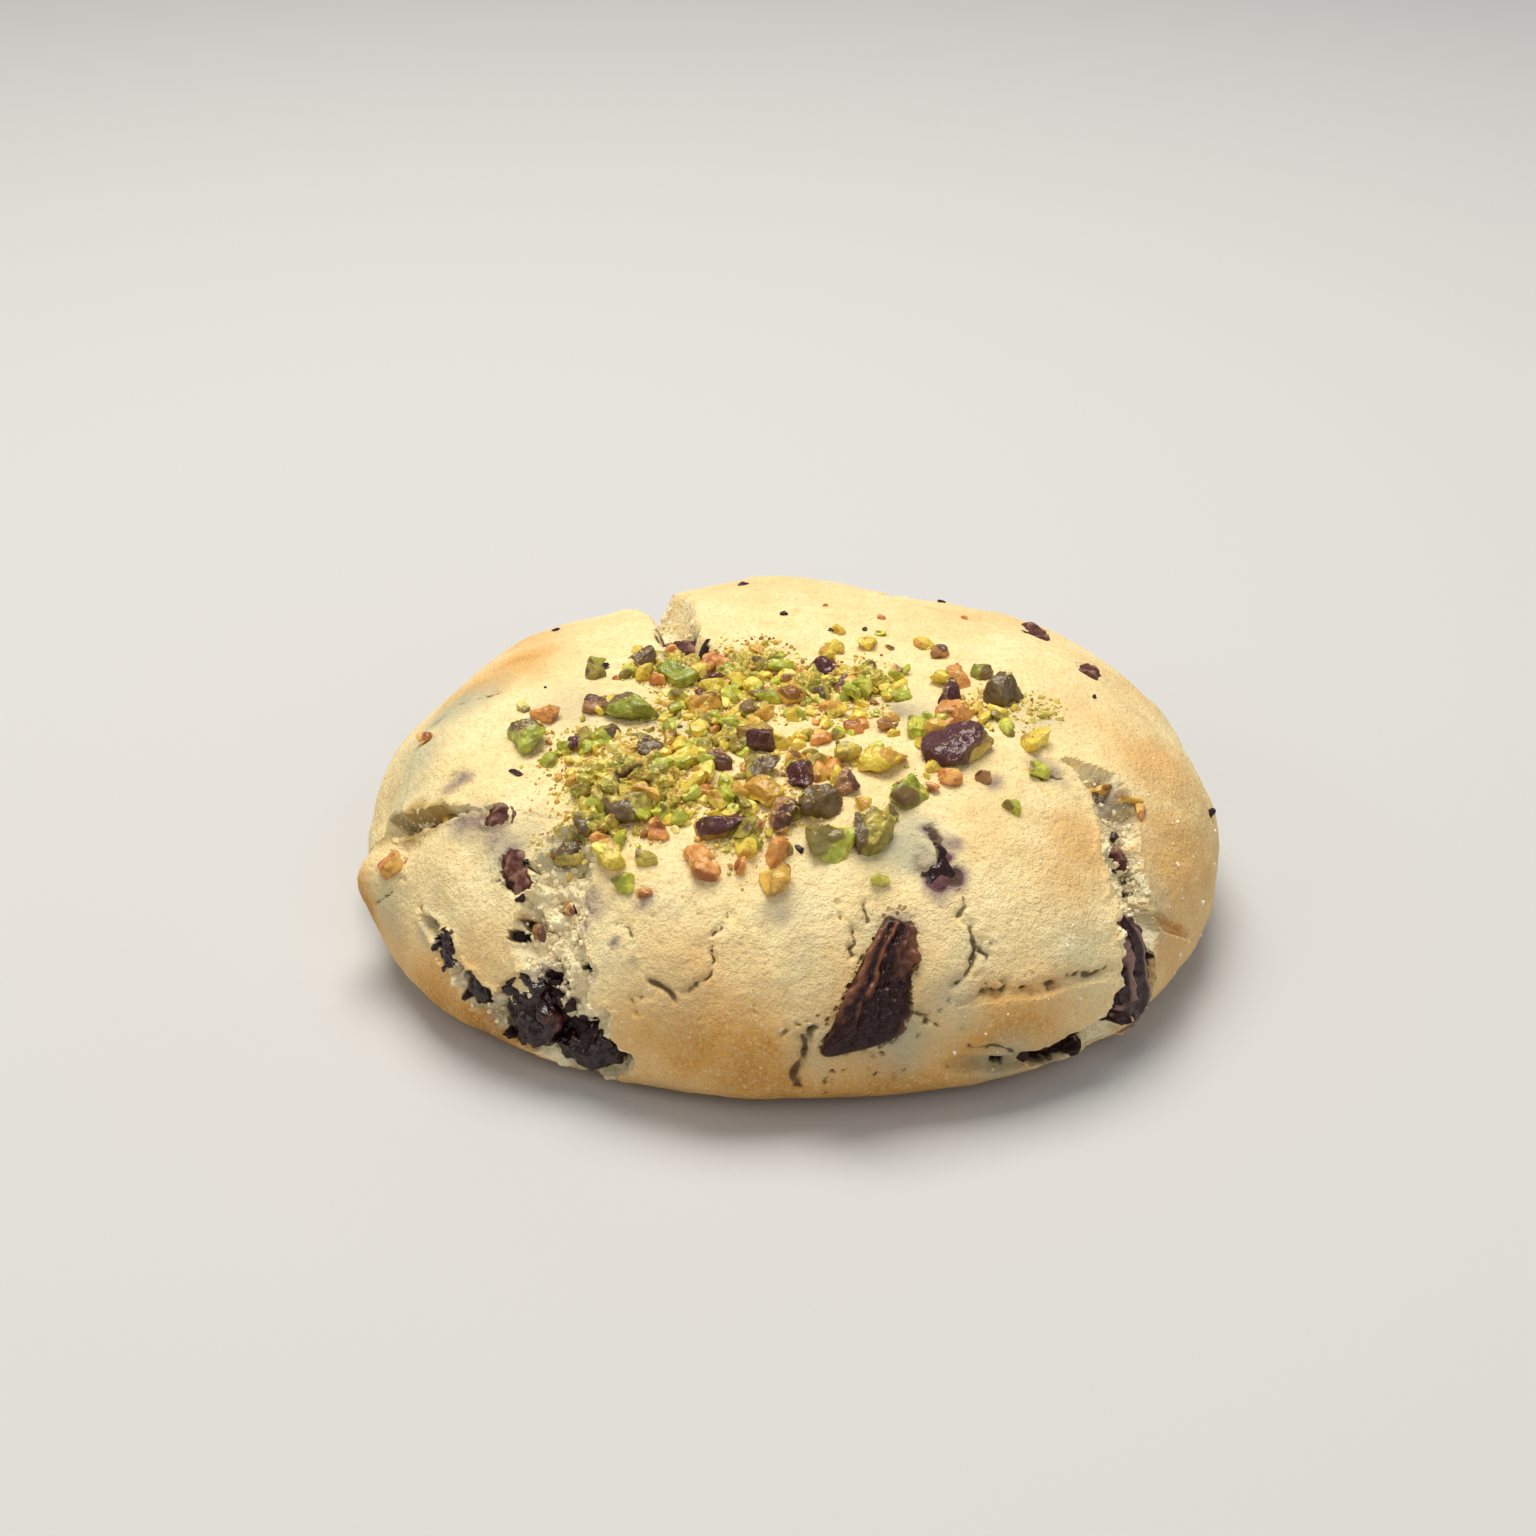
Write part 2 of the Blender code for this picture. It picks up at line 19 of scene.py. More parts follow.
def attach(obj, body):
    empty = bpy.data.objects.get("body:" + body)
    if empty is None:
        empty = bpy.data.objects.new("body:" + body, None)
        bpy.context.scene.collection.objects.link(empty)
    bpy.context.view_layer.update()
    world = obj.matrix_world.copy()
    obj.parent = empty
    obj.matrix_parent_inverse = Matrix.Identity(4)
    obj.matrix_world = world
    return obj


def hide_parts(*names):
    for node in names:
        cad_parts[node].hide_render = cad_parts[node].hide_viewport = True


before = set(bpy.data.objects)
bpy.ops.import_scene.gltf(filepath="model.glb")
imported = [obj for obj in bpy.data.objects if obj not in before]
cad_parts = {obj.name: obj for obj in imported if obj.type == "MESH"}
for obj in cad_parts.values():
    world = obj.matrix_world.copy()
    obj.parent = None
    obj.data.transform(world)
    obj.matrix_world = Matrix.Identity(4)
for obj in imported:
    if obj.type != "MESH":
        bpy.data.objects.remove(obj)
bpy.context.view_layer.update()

MM = 0.001  # metres in a millimetre

# ---- the form, as in the solids ----

WIDTH = 100.0
DEPTH = 95.0
HEIGHT = 30.0
WAIST = 8.0
FOOT_WIDTH = 82.0
CROWN_POWER = 2.8
UNDERCUT_POWER = 2.2
OUTLINE_MIDDLE = (-0.16, -0.21)

# Swells and hollows of the crust: plan x, plan y, radius, height
SWELLS = (
    (0, 0, 24, -3.0), (22, 39, 14, -0.8), (-3, 47, 10, 0.6), (-23, 37, 13, -1.0),
    (-44, 12, 14, -1.6), (50, 4, 10, -0.7), (39, -50, 17, 1.9), (-44, -44, 14, 0.8),
    (23, -26, 9, 0.9), (-12, -42, 8, 0.6), (-10, -57, 8, 0.8), (28, -51, 7, 0.9), (2, -50, 7, -0.7),
    (-38, -28, 8, 0.7), (-40, -9, 9, 0.7), (-52, -20, 4, 3.2), (-54, -8, 7, -2.6),
    (42, -12, 9, 0.7), (-4, 45, 5, 0.7), (-16, 52, 8, 0.6), (38, 32, 9, 0.5),
)

# Splits between the lobes: width at the start and the end, depth, step up to the right, path
SPLITS = (
    (
        *(3.0, 9.0, 5.0, 0.6),
        *((-7, 5), (-11, 9), (-14, 14), (-15, 21), (-17, 29), (-20, 39), (-25, 51), (-26, 62)),
    ),
    (
        *(1.2, 4.6, 3.2, 1.2),
        *((-36, -22.4), (-40, -20.6), (-45, -18.4), (-50, -14.5), (-56, -11), (-63, -8)),
    ),
    (
        *(5.6, 10.5, 2.0, 0.0),
        *((-22, -29), (-25.4, -34), (-27.2, -38.5), (-28.4, -43), (-28.4, -48), (-29, -56)),
    ),
    (
        *(2.6, 5.0, 1.9, 0.0),
        *((-42.5, -39.5), (-39.5, -44), (-36.5, -48.6), (-31.5, -52.6), (-24, -57.5)),
    ),
    (0.9, 2.4, 1.8, 0.3, (-45, -31), (-43.4, -34), (-41.6, -38), (-41, -42)),
    (
        *(4.4, 5.4, 1.8, -0.3),
        *((31, -16), (35, -19.5), (36.6, -24), (37.4, -29), (40, -35), (42, -41), (43, -49)),
    ),
    (2.0, 1.0, 1.6, 0.5, (42, -33), (46, -32), (52, -29)),
    (2.0, 4.4, 2.4, 0.0, (19, -58), (27, -56.4), (33, -54), (38, -50), (42, -46)),
    (1.2, 1.6, 0.5, 0.0, (19, -51.5), (24, -49), (28, -47.6), (33, -44.4), (38, -41.6)),
    (1.8, 6.0, 3.6, -0.5, (12, 31), (17, 38), (20, 46), (26, 53), (27, 62)),
    (1.2, 3.4, 2.6, 0.6, (48, 20), (51, 27), (48, 35)),
    (1.4, 4.6, 3.0, 0.4, (-38, 26), (-44, 33), (-50, 36), (-54, 40)),
)

# Chocolate: plan x and y, length, breadth, thickness, turn, flare, slant of the lower end,
# squareness, proud
CHUNKS = {
    "chocolate_front": (10.1, -50.8, 14.0, 5.7, 5.6, -25, 0.36, 0.6, 4.5, 0.7),
    "chocolate_right": (43.2, -39.8, 13.5, 5.0, 5.0, 4, 0.10, 0.0, 2.8, -0.6),
    "chocolate_low_left": (-34.6, -48.4, 8.6, 6.2, 4.4, 20, 0.10, 0.0, 2.8, -0.7),
    "chocolate_low_front": (-28.6, -55.6, 7.4, 4.2, 3.6, -75, -0.20, 0.0, 2.8, -0.7),
    "chocolate_left_rim": (-42, -37, 5.0, 3.6, 3.6, 8, 0.0, 0.0, 2.8, 0.0),
    "chocolate_left_corner": (-40.2, -43.2, 4.2, 3.2, 3.2, 40, 0.0, 0.0, 2.8, -0.6),
    "chocolate_left_crown": (-32.6, -25.2, 4.0, 4.4, 3.0, 20, 0.0, 0.0, 2.8, 0.2),
    "chocolate_left_split": (-31, -33, 6.4, 3.2, 3.2, 55, 0.1, 0.0, 2.8, 0.0),
    "chocolate_front_crown": (16, -36.6, 7.4, 4.6, 4.0, 10, 0.1, 0.0, 2.8, 0.1),
    "chocolate_right_crown": (36, 8, 4.6, 3.4, 3.0, 60, 0.0, 0.0, 2.8, 0.5),
    "chocolate_right_split": (37.6, -27.8, 3.2, 2.6, 2.8, 10, 0.0, 0.0, 2.8, -0.9),
    "chocolate_notch": (-14, 15, 6.0, 4.4, 4.0, 70, 0.0, 0.0, 2.8, -1.9),
    "chocolate_rear_rim": (31, 19, 8.0, 3.0, 3.0, 62, 0.0, 0.0, 2.8, 0.5),
    "chocolate_rear_right": (24, 53, 12.0, 6.0, 5.0, 12, 0.2, 0.0, 2.8, -1.2),
    "chocolate_rear_notch": (-24, 54, 9.0, 7.0, 5.0, 30, 0.1, 0.0, 2.8, -1.6),
    "chocolate_rear": (2, 55, 10.0, 6.4, 4.6, -35, 0.2, 0.0, 2.8, 0.8),
    "chocolate_rear_left": (-50, 35, 6.0, 4.4, 4.0, 40, 0.0, 0.0, 2.8, -1.0),
}

# Chopped pistachio: plan x and y, length, breadth, height, turn, kind, share under skin
KERNELS = (
    (-30, -13, 5.8, 4.8, 3.6, 20, "green", 0.25), (-18, -9, 6.2, 4.6, 3.8, 35, "green", 0.35),
    (-28, -8, 3.8, 2.6, 2.0, 60, "orange", 0.1), (-22, -7, 3.6, 3.0, 2.0, 10, "brown", 0.5),
    (-24, -15, 3.8, 2.8, 2.4, 120, "dark", 0.7), (-21, -14, 3.4, 2.8, 2.2, 40, "olive", 0.3),
    (-13, 1, 5.6, 4.6, 3.0, 15, "green", 0.1), (-9, 6, 4.2, 2.8, 2.2, 150, "orange", 0.0),
    (-9, 1, 3.2, 2.8, 2.2, 75, "dark", 1.0), (-17, 5, 3.8, 2.8, 2.4, 20, "olive", 0.5),
    (-10, -7, 4.2, 4.0, 3.0, 100, "tan", 0.2), (-4, -17, 4.4, 3.8, 3.4, 10, "dark", 0.5),
    (-4, -23, 4.2, 3.4, 2.8, 70, "olive", 0.2), (-8, -21, 3.2, 3.2, 2.6, 0, "brown", 0.4),
    (-16, -18, 3.4, 2.8, 2.6, 140, "olive", 0.5), (-16, -23, 3.8, 3.2, 2.8, 80, "green", 0.2),
    (-18, -28, 5.4, 4.8, 3.4, 40, "olive", 0.3), (-22, -29, 4.4, 4.4, 2.8, 120, "olive", 0.3),
    (-20, -35, 3.6, 4.0, 3.2, 95, "yellow", 0.2), (-25, -32, 3.6, 2.6, 2.2, 30, "olive", 0.5),
    (-8, -33, 5.4, 3.4, 2.8, 5, "dark", 0.5), (-10, -38, 4.8, 3.2, 2.6, 160, "orange", 0.1),
    (-2, -40, 3.6, 3.0, 2.4, 45, "tan", 0.2), (-3, -28, 4.8, 4.4, 3.2, 10, "yellow", 0.3),
    (1, -25, 4.2, 2.8, 2.8, 80, "dark", 1.0), (6, -26, 3.2, 3.2, 2.8, 0, "brown", 0.5),
    (3, -30, 5.2, 3.6, 3.2, 25, "olive", 0.9), (-1, -32, 4.2, 3.4, 3.0, 110, "brown", 0.4),
    (4, -35, 5.6, 5.0, 3.8, 50, "lime", 0.35), (9, -34, 5.2, 4.6, 4.0, 75, "olive", 0.3),
    (10, -21, 5.8, 5.0, 3.2, 165, "yellow", 0.3), (6, -20, 2.4, 3.6, 3.0, 100, "olive", 0.1),
    (13, -27, 4.8, 3.6, 3.0, 15, "green", 0.2), (18, -18, 8.8, 6.2, 4.4, 5, "dark", 0.75),
    (14, -14, 3.6, 2.6, 2.2, 60, "lime", 0.1), (18, -11, 5.2, 3.2, 2.6, 170, "orange", 0.0),
    (18, -6, 5.8, 3.0, 3.0, 10, "dark", 1.0), (24, -5, 5.0, 4.6, 4.2, 130, "olive", 0.8),
    (19, -1, 3.8, 3.0, 2.2, 20, "orange", 0.1), (12, -4, 4.0, 2.8, 2.0, 95, "lime", 0.0),
    (4, 2, 3.8, 3.6, 3.0, 30, "dark", 1.0), (27, -14, 4.2, 2.8, 2.2, 0, "yellow", 0.1),
    (7, -2, 5.0, 3.2, 2.4, 140, "brown", 0.2), (0, -5, 4.0, 3.6, 2.6, 60, "tan", 0.2),
)
KERNEL_SUNK = 0.30
CHIP_SEED = 11
CHIP_COUNT = 46
CHIP_SIZE = (1.9, 3.1)
SPRINKLE_MIDDLE = (-2, -14)
SPRINKLE_RADIUS = 30.0
CHIP_SPREAD = 0.62  # the power that thickens the sprinkle towards its middle
CHIP_BREADTH, CHIP_HEIGHT = 0.8, 0.75  # as shares of the length
CHIP_GAP = 0.9
CLEAR_OF_CHOCOLATE = 1.2

BUMPS = ((12.0, 0.45, 1), (5.0, 0.22, 2))
FOOT_FADE = 7.0
POINTED = 0.12
POINT_WIDTH = 0.25
DEEPENING = 0.25
POINT_DEPTH = 0.4
WANDER = ((3.2, 0.28, 5), (1.5, 0.14, 6))
WALL = (0.55, 1.05)
LIP = (0.10, 1.5, 0.5, 0.6)
STEP_REACH = 7.0
VALLEY = (0.25, 4.0)
FOOT_POLAR = 0.86
PATH_PARTS = 3
MERIDIAN_STEPS = 400
NARROW = 2.0  # no crumb shows in a split that stays narrower than this
STEEP = 0.7

# ---- what the solids leave out ----

DOUGH_LEVEL = 8  # of the ball that the dough is shaped from
DOUGH_FACES = 196_000
FINER_FRONT = 0.35  # how much closer its points lie at the front

# The broken dough: unevenness as size, height and seed
EDGE_WANDER = ((3.0, 0.50, 31), (1.4, 0.50, 32), (0.7, 0.35, 33))  # of the crust's edge
REAR = (-8, 8)  # the coarser rear takes over between these y
REAR_WANDER = ((6.0, 1.3, 30), (2.6, 0.7, 29))
CLOSED_BY = 1.6  # how much further the crust reaches where it closed over a split
BROKEN_EDGE = (-0.25, 0.0)  # crumb goes over to crust between these distances from the edge
SKIN_UNEVENNESS = ((3.4, 0.16, 51), (1.5, 0.07, 52), (0.7, 0.04, 53))
EDGE_LIP = 0.28  # how high the crust stands up along its broken edge
EDGE_LIP_PLACE = 0.4  # how far from the edge, and how broad
CRUST_THICKNESS = 1.2  # the crumb lies this much lower, before its clumps
CLUMPS = ((3.8, 2.4, 34), (1.9, 1.0, 35))
CRUMB_GRAIN = ((1.0, 0.30, 36), (0.5, 0.20, 38), (0.3, 0.12, 39))
CREASE = (0.0, 0.35)  # painted shade darkens the crumb where its clumps are lower than this
HOLE_EDGE = (0.35, 0.6)
HOLE_DEPTH = 1.1
HOLE_WANDER = ((1.3, 0.40, 67), (0.6, 0.30, 68))
BROKEN = math.radians(38)  # crumb that meets at more than this keeps a crisp edge

# Pits and fissures: noise as size and seed, and the values between which they open
PIT_SPOTS = (0.75, 54, 0.38, 0.66)
PIT_FIELDS = (2.6, 55, -0.1, 0.3)
PIT_DEPTH = 0.45
FISSURE_LINES = (4.2, 56)
FISSURE_EDGE = (0.05, 0.16)
FISSURE_FIELDS = (3.0, 57, 0.0, 0.4)
FISSURED = (0.45, 0.85)  # fissures open where the crust is more pitted than this
FISSURE_DEPTH = 0.5

# The beds of the chocolate
BED_WANDER = ((2.2, 0.20, 63), (0.9, 0.14, 64))  # of the ragged hole that chocolate shows in
BED_EDGE = 0.04
BED_GAP = 0.35
BED_DEPTH = 1.8  # the crust that lies higher than this over the chocolate stays
VEIL = 0.4  # thickness of the crust over chocolate that it hides
VEIL_EDGE = (0.8, 1.15)
SMEAR_WANDER = ((1.6, 0.22, 65), (0.7, 0.20, 66))
SMEAR_EDGE = (0.4, 0.6)
SMEAR_LUMPS = (1.1, 62)
SMEAR_HEIGHT = 0.35

# Stains
STAIN_WANDER = ((6.0, 1.5, 71),)
BLOTCHES = ((9.0, 0.16, 72), (3.0, 0.10, 73))
MAUVE_WANDER = ((1.6, 0.20, 74), (0.7, 0.12, 75))
FOOT_BROWNING_AND_SHADE = ((0.6, 22, 2), (0.4, 8, 0))  # browning and painted shade: how much, from and to mm above the foot
SPRINKLE_EDGE = (0.2, 0.9)
STREWN_REACH = 50  # no dust is strewn further from the middle of the top
CRUMBS_FROM = (8, 12)  # loose crumbs lie from this far above the foot
CRUMBS_STICK = (0.3, 0.5)  # none lie loose where chocolate smeared the dough more than this

# Hairline cracks in the crust: width, depth, path on the plan
CRACKS = (
    (0.40, 0.7, (5, -42), (5, -43), (6, -45), (7, -47), (7, -49)),
    (0.35, 0.5, (9.4, -41.4), (8, -42), (8, -44), (8, -45)),
    (0.35, 0.5, (19, -39), (19, -41), (18, -43)),
    (0.50, 0.7, (18.6, -42.4), (19.6, -44.2), (20.4, -46.2), (19.6, -48), (18, -50)),
    (0.40, 0.6, (21.4, -43.6), (21.0, -45.2), (22.2, -46.6)),
    (0.40, 0.6, (13, -53), (16, -53), (16, -54)),
    (0.80, 0.9, (1, -56), (1.4, -58), (0.6, -60.4), (0.4, -64)),
    (0.45, 0.6, (4.6, -61), (4.0, -63), (4.6, -66)),
    (0.35, 0.5, (11, -60), (11, -62)),
    (
        *(0.40, 0.6, (-6.4, -42.6), (-7.5, -44.8)),
        *((-8.6, -46.3), (-9.1, -49.0), (-10.8, -50.7), (-13, -51)),
    ),
    (0.40, 0.6, (-15, -50), (-16, -51), (-19, -51), (-19, -53)),
    (0.40, 0.6, (-44.6, -29.6), (-44.2, -31.0), (-43.6, -32.4)),
    (0.45, 0.6, (27, -21), (30, -19), (32, -20)),
    (0.35, 0.5, (-47, -19), (-46, -22), (-48, -25), (-53, -24)),
    (0.40, 0.5, (-41, 5), (-36, 2), (-33, 1)),
    (0.40, 0.5, (20.8, -55.7), (25.9, -54.4), (29, -54)),
    (0.35, 0.5, (-20, -43), (-18, -44), (-18, -46)),
    (
        *(0.50, 0.8, (20, -50.4), (24, -48.6), (28, -47.2)),
        *((30.6, -45.6), (33, -44.0), (35.4, -42.4), (38, -41.2)),
    ),
    (0.95, 0.60, (14.8, -30.8), (15.4, -32.6), (16.2, -34.0), (16.0, -35.6), (16.2, -37.4)),
    (0.85, 0.60, (13.2, -38.4), (14.8, -37.8), (16.2, -37.2), (18.2, -38.0), (18.4, -39.2)),
)
CRACK_WANDER = ((2.4, 0.55, 41), (1.0, 0.40, 42))
CRACK_SPAN = 16.0  # points further than this from a crack's middle don't feel it
CRACK_REACH = 2.4  # how far its line of painted shade is felt, in widths of the crack
CRACK_GAPE = (1.3, 43)  # noise, as size and seed, that opens a crack here and closes it there
CRACK_ENDS = (0, 0.1)  # share of its length over which a crack runs out

# Where the crust baked golden: plan x and y, radius, strength
GOLDEN = (
    (38, -3, 10, 0.45), (44, -11, 11, 0.66), (47, -21, 10, 0.8), (45, -30, 8, 0.6),
    (50, -9, 8, 0.5), (42, 11, 9, 0.4), (32, -29, 5.0, 0.75), (29, -35, 6, 0.5), (23, -30, 7, 0.25),
    (-11, -56, 8, 0.9), (-6, -59, 8, 0.9), (-18, -54, 5, 0.7), (25, -53, 8, 0.8), (29, -50, 6, 0.7),
    (12, -58, 12, 0.7), (-50, -30, 6, 0.35), (-46, -40, 6, 0.8), (-43, -47, 5, 1.1),
    (-38, -31, 7, 0.2), (-37, -40, 4.5, 0.4), (-33, 11, 7, 0.9), (-38, 8, 7, 0.9),
    (-54, -21, 4, 1.0), (34.2, -18.4, 1.3, 1.6), (36.2, -19.2, 1.3, 1.7), (38.2, -20.6, 1.3, 1.8),
    (28, 27, 7, 0.4), (-2, 36, 16, 0.36), (24, 22, 14, 0.32), (8, 18, 12, 0.22), (-32, 22, 9, 0.6),
    (-40, 12, 8, 0.6), (0, 53, 8, 0.45), (22, 44, 8, 0.5), (0, 57, 9, 0.8), (-44, 50, 10, 0.6),
    (42, 42, 10, 0.7), (-56, 14, 8, 0.6),
)
# Where fat from nuts and chocolate turned it grey-green
GREYED = (
    (-41, 3, 6.5, 1.2), (-44, -7, 5.0, 0.9), (-46, -13, 4.0, 0.7), (-36.5, -24.5, 3.0, 0.7),
    (-50, -27, 4.0, 0.7), (-44, -32.5, 2.2, 0.7), (-25, -32.5, 3.6, 0.8), (12, -34.5, 4.0, 1.2),
    (13.5, -31, 3.5, 0.9), (-1, -44, 3.5, 0.6), (1, -49, 4.5, 0.4), (3, -58, 4.0, 0.6),
    (21, -46.5, 3.5, 0.6), (18, -51, 4.0, 0.8), (27, -8, 4.0, 0.6), (9, -58, 4.5, 0.5),
    (-13, -52, 4.5, 0.5), (10, -46, 4.5, 0.6), (13, -56, 5.0, 1.0), (28, -55.6, 4.0, 0.9),
    (35, -52.6, 3.5, 0.9), (36, -20, 3.0, 0.6), (43, -31, 4.5, 0.6), (33, -42, 5.0, 0.5),
    (-25, -6, 6.0, 0.6), (-12, -12, 8.0, 0.6), (12, -8, 5.0, 0.7), (-8, 3, 7.0, 0.6),
    (-31, -29, 4.0, 0.8),
)
# Where chocolate shows through it
MAUVE = (
    (-35, -24.5, 2.4, 0.8), (-33, -26.5, 2.6, 0.8), (-31, -30, 2.8, 0.6), (15.0, -31.2, 1.2, 1.2),
    (16.8, -34.0, 1.8, 0.9), (16.6, -38.8, 1.7, 1.7), (18.4, -38.2, 1.5, 1.6),
    (16.8, -35.8, 1.1, 1.4), (15.4, -32.4, 0.9, 1.3), (14.4, -36.6, 2.6, 0.5), (-2, -44, 2.6, 0.55),
    (-20.5, -45, 0.9, 1.0), (-38, -16.5, 2.2, 0.8), (28.5, -19.5, 2.4, 0.9), (22, -24, 1.6, 0.9),
    (-17, -41, 1.6, 0.8), (-22.2, -40, 1.8, 0.9), (-17.9, -47.8, 0.8, 0.9), (12, -8.3, 2.6, 0.6),
    (35.4, -19.4, 2.2, 0.8), (36.6, -22.4, 2.0, 0.5), (-42, 1.5, 1.8, 0.6), (12, -44, 1.8, 0.6),
    (-29, -47, 2.6, 0.8), (-38.5, -47, 2.4, 0.5),
)
# Where crushed nut darkens the crumb
NUTTY = (
    (-40.5, -20.3, 2.4, 1.2), (-44, -18.6, 3.0, 1.4), (-48, -16, 3.0, 1.2),
    (-24.4, -43.4, 1.2, 1.0), (-30.8, -38.6, 1.0, 0.8), (34.2, -18.4, 1.4, 1.2),
    (38.8, -20.6, 1.5, 1.4), (22, -57.4, 4.0, 0.60), (29, -56.0, 4.0, 0.66), (36, -52.6, 3.0, 0.60),
    (40, -49, 3.0, 0.60),
)
# Where chocolate smeared the dough and its crumb
SMEARED = (
    (-35.4, -49.5, 3.4, 1.0), (-32, -51.5, 3.2, 1.0), (-29, -54, 3.4, 1.0), (-25, -57, 2.0, 0.9),
    (-31, -48.5, 1.8, 1.0), (-29.6, -46.2, 1.2, 0.9), (-35, -45.5, 1.4, 0.6),
    (-39.9, -42.6, 2.2, 0.9), (-42, -37, 2.4, 0.8), (-31.5, -33, 2.6, 0.7), (42.5, -39, 2.2, 0.9),
    (43.5, -44, 2.6, 0.9), (37.9, -50.4, 2.4, 0.9), (35, -52.5, 2.0, 0.8), (-14, 15, 3.4, 0.9),
    (-11, 11, 2.0, 0.7), (31, 19, 3.0, 0.6), (24, 53, 4.6, 0.8), (-24, 54, 4.6, 0.8),
    (2, 55, 3.6, 0.6), (-50, 35, 3.0, 0.8),
)
# Deep holes in the crumb
HOLES = (
    (-31.8, -40.2, 0.8, 1.0), (-30.6, -39.8, 0.7, 0.9), (-26.8, -38.2, 0.8, 0.9),
    (-25.6, -38.6, 0.6, 0.9), (-29.8, -45.8, 0.7, 0.9), (-27.6, -47.6, 0.6, 0.9),
    (-24.6, -46.5, 0.6, 0.8), (39.4, -31.2, 0.7, 1.0), (39.0, -29.6, 0.5, 0.9),
    (28.4, -56.2, 0.9, 0.9), (34.4, -53.4, 1.5, 1.0), (37.6, -51.4, 1.2, 0.9),
)
# Where crumbs lie loose
CRUMBLED = (
    (-26, -36, 5.0, 0.5), (-27, -43, 5.0, 1.0), (-26, -49, 4.0, 1.0), (-37, -46, 3.0, 0.7),
    (-42, -40, 2.5, 0.7), (-46, -17, 5.0, 0.7), (36, -22, 4.0, 0.7), (39, -31, 4.0, 0.7),
    (-14, 20, 10, 0.7), (-20, 45, 14, 0.7), (20, 48, 12, 0.7), (-46, 33, 8, 0.7), (50, 28, 6, 0.7),
)
# Where crust closed over most of a split
CLOSED = (
    (20, -58, 4.0, 1.0), (25, -57, 4.0, 1.0), (30, -55.6, 3.5, 0.9),
)
# Where small pits opened in it
PITTED = (
    (13, -51, 5.0, 1.0), (16, -56, 6.0, 1.0), (7, -60, 7.0, 1.0), (1, -54, 5.0, 1.0),
    (22, -47, 4.0, 0.9), (-15, -50, 5.0, 0.9), (28, -47, 4.0, 0.7), (-13, -46, 5.0, 0.7),
    (-26, -35, 5.0, 1.0), (-40, -14, 9.0, 0.5), (-44, -24, 6.0, 0.5), (34, -40, 6.0, 0.5),
    (0, -16, 24.0, 0.35), (0, 45, 20.0, 0.4),
)
# Where nut dust lies thick, and where sugar grains show
SPRINKLED = (
    (-18, -22, 10, 1.0), (-15, -26, 7, 1.0), (-14, 2, 6, 0.9), (-10, -8, 9, 0.7), (3, -2, 9, 1.0),
    (-2, -27, 9, 0.6), (-5, 5, 8, 0.8), (8, 3, 6, 0.5), (-25, -30, 5, 0.6), (22, -7, 7, 0.6),
    (28, -6, 4, 0.8), (-6, -34, 6, 0.6), (-24, -14, 7, 0.5), (14, -22, 4, 0.3),
)
SUGARED = (
    (47, -20, 10, 1.0), (50, -30, 6, 1.0), (28, -44, 9, 0.5), (25, -54, 7, 0.5), (-24, -45, 6, 0.2),
)


# ---- noise and the unsplit form ----

LATTICE = np.random.default_rng(3).normal(size=(256, 3))
LATTICE /= np.linalg.norm(LATTICE, axis=1, keepdims=True)


def grain_noise(points, size, seed):
    """Smooth noise from about -1 to 1 whose bumps are `size` mm across."""
    scaled = points / size + seed * 7.31
    cell = np.floor(scaled).astype(np.int64)
    inside = scaled - cell
    fade = inside**3 * (inside * (inside * 6 - 15) + 10)
    total = np.zeros(len(points))
    for corner in product((0, 1), repeat=3):
        at = cell + corner
        mixed = (at[:, 0] * 73856093) ^ (at[:, 1] * 19349663) ^ (at[:, 2] * 83492791)
        slope = LATTICE[(mixed ^ (mixed >> 11)) & 255]
        share = np.prod(np.where(corner, fade, 1 - fade), axis=1)
        total += share * ((inside - corner) * slope).sum(1)
    return total * 1.7


def unevenness(points, layers):
    """The sum of some layers of noise, each a size, a height and a seed."""
    return sum(height * grain_noise(points, size, seed) for size, height, seed in layers)


def smoothstep(low, high, value):
    """From 0 to 1 as the value goes from low to high, gently at both ends."""
    share = np.clip((value - low) / (high - low), 0, 1)
    return share * share * (3 - 2 * share)


def spots(points, size, seed, low, high):
    """Soft-edged spots: where noise rises from low to high."""
    return smoothstep(low, high, grain_noise(points, size, seed))


def meridian():
    """One half section of the dough: length along the crust, share of the radius, height."""
    radius, foot = WIDTH / 2, FOOT_WIDTH / 2
    share = 1 - (1 - np.linspace(0, 1, MERIDIAN_STEPS)) ** 2
    top = np.sqrt((1 - share**CROWN_POWER).clip(0))
    fall = np.linspace(0, 1, MERIDIAN_STEPS)[1:]
    tuck = (1 - fall**UNDERCUT_POWER).clip(0) ** (1 / UNDERCUT_POWER)
    across = np.concatenate([share * radius, foot + (radius - foot) * tuck, [0]])
    height = np.concatenate([WAIST + (HEIGHT - WAIST) * top, WAIST * (1 - fall), [0]])
    length = np.concatenate([[0], np.cumsum(np.hypot(np.diff(across), np.diff(height)))])
    return length, across / radius, height


REACH, SPREAD, RISE = meridian()
FOOT_REACH, FULL_REACH = REACH[-2], REACH[-1]


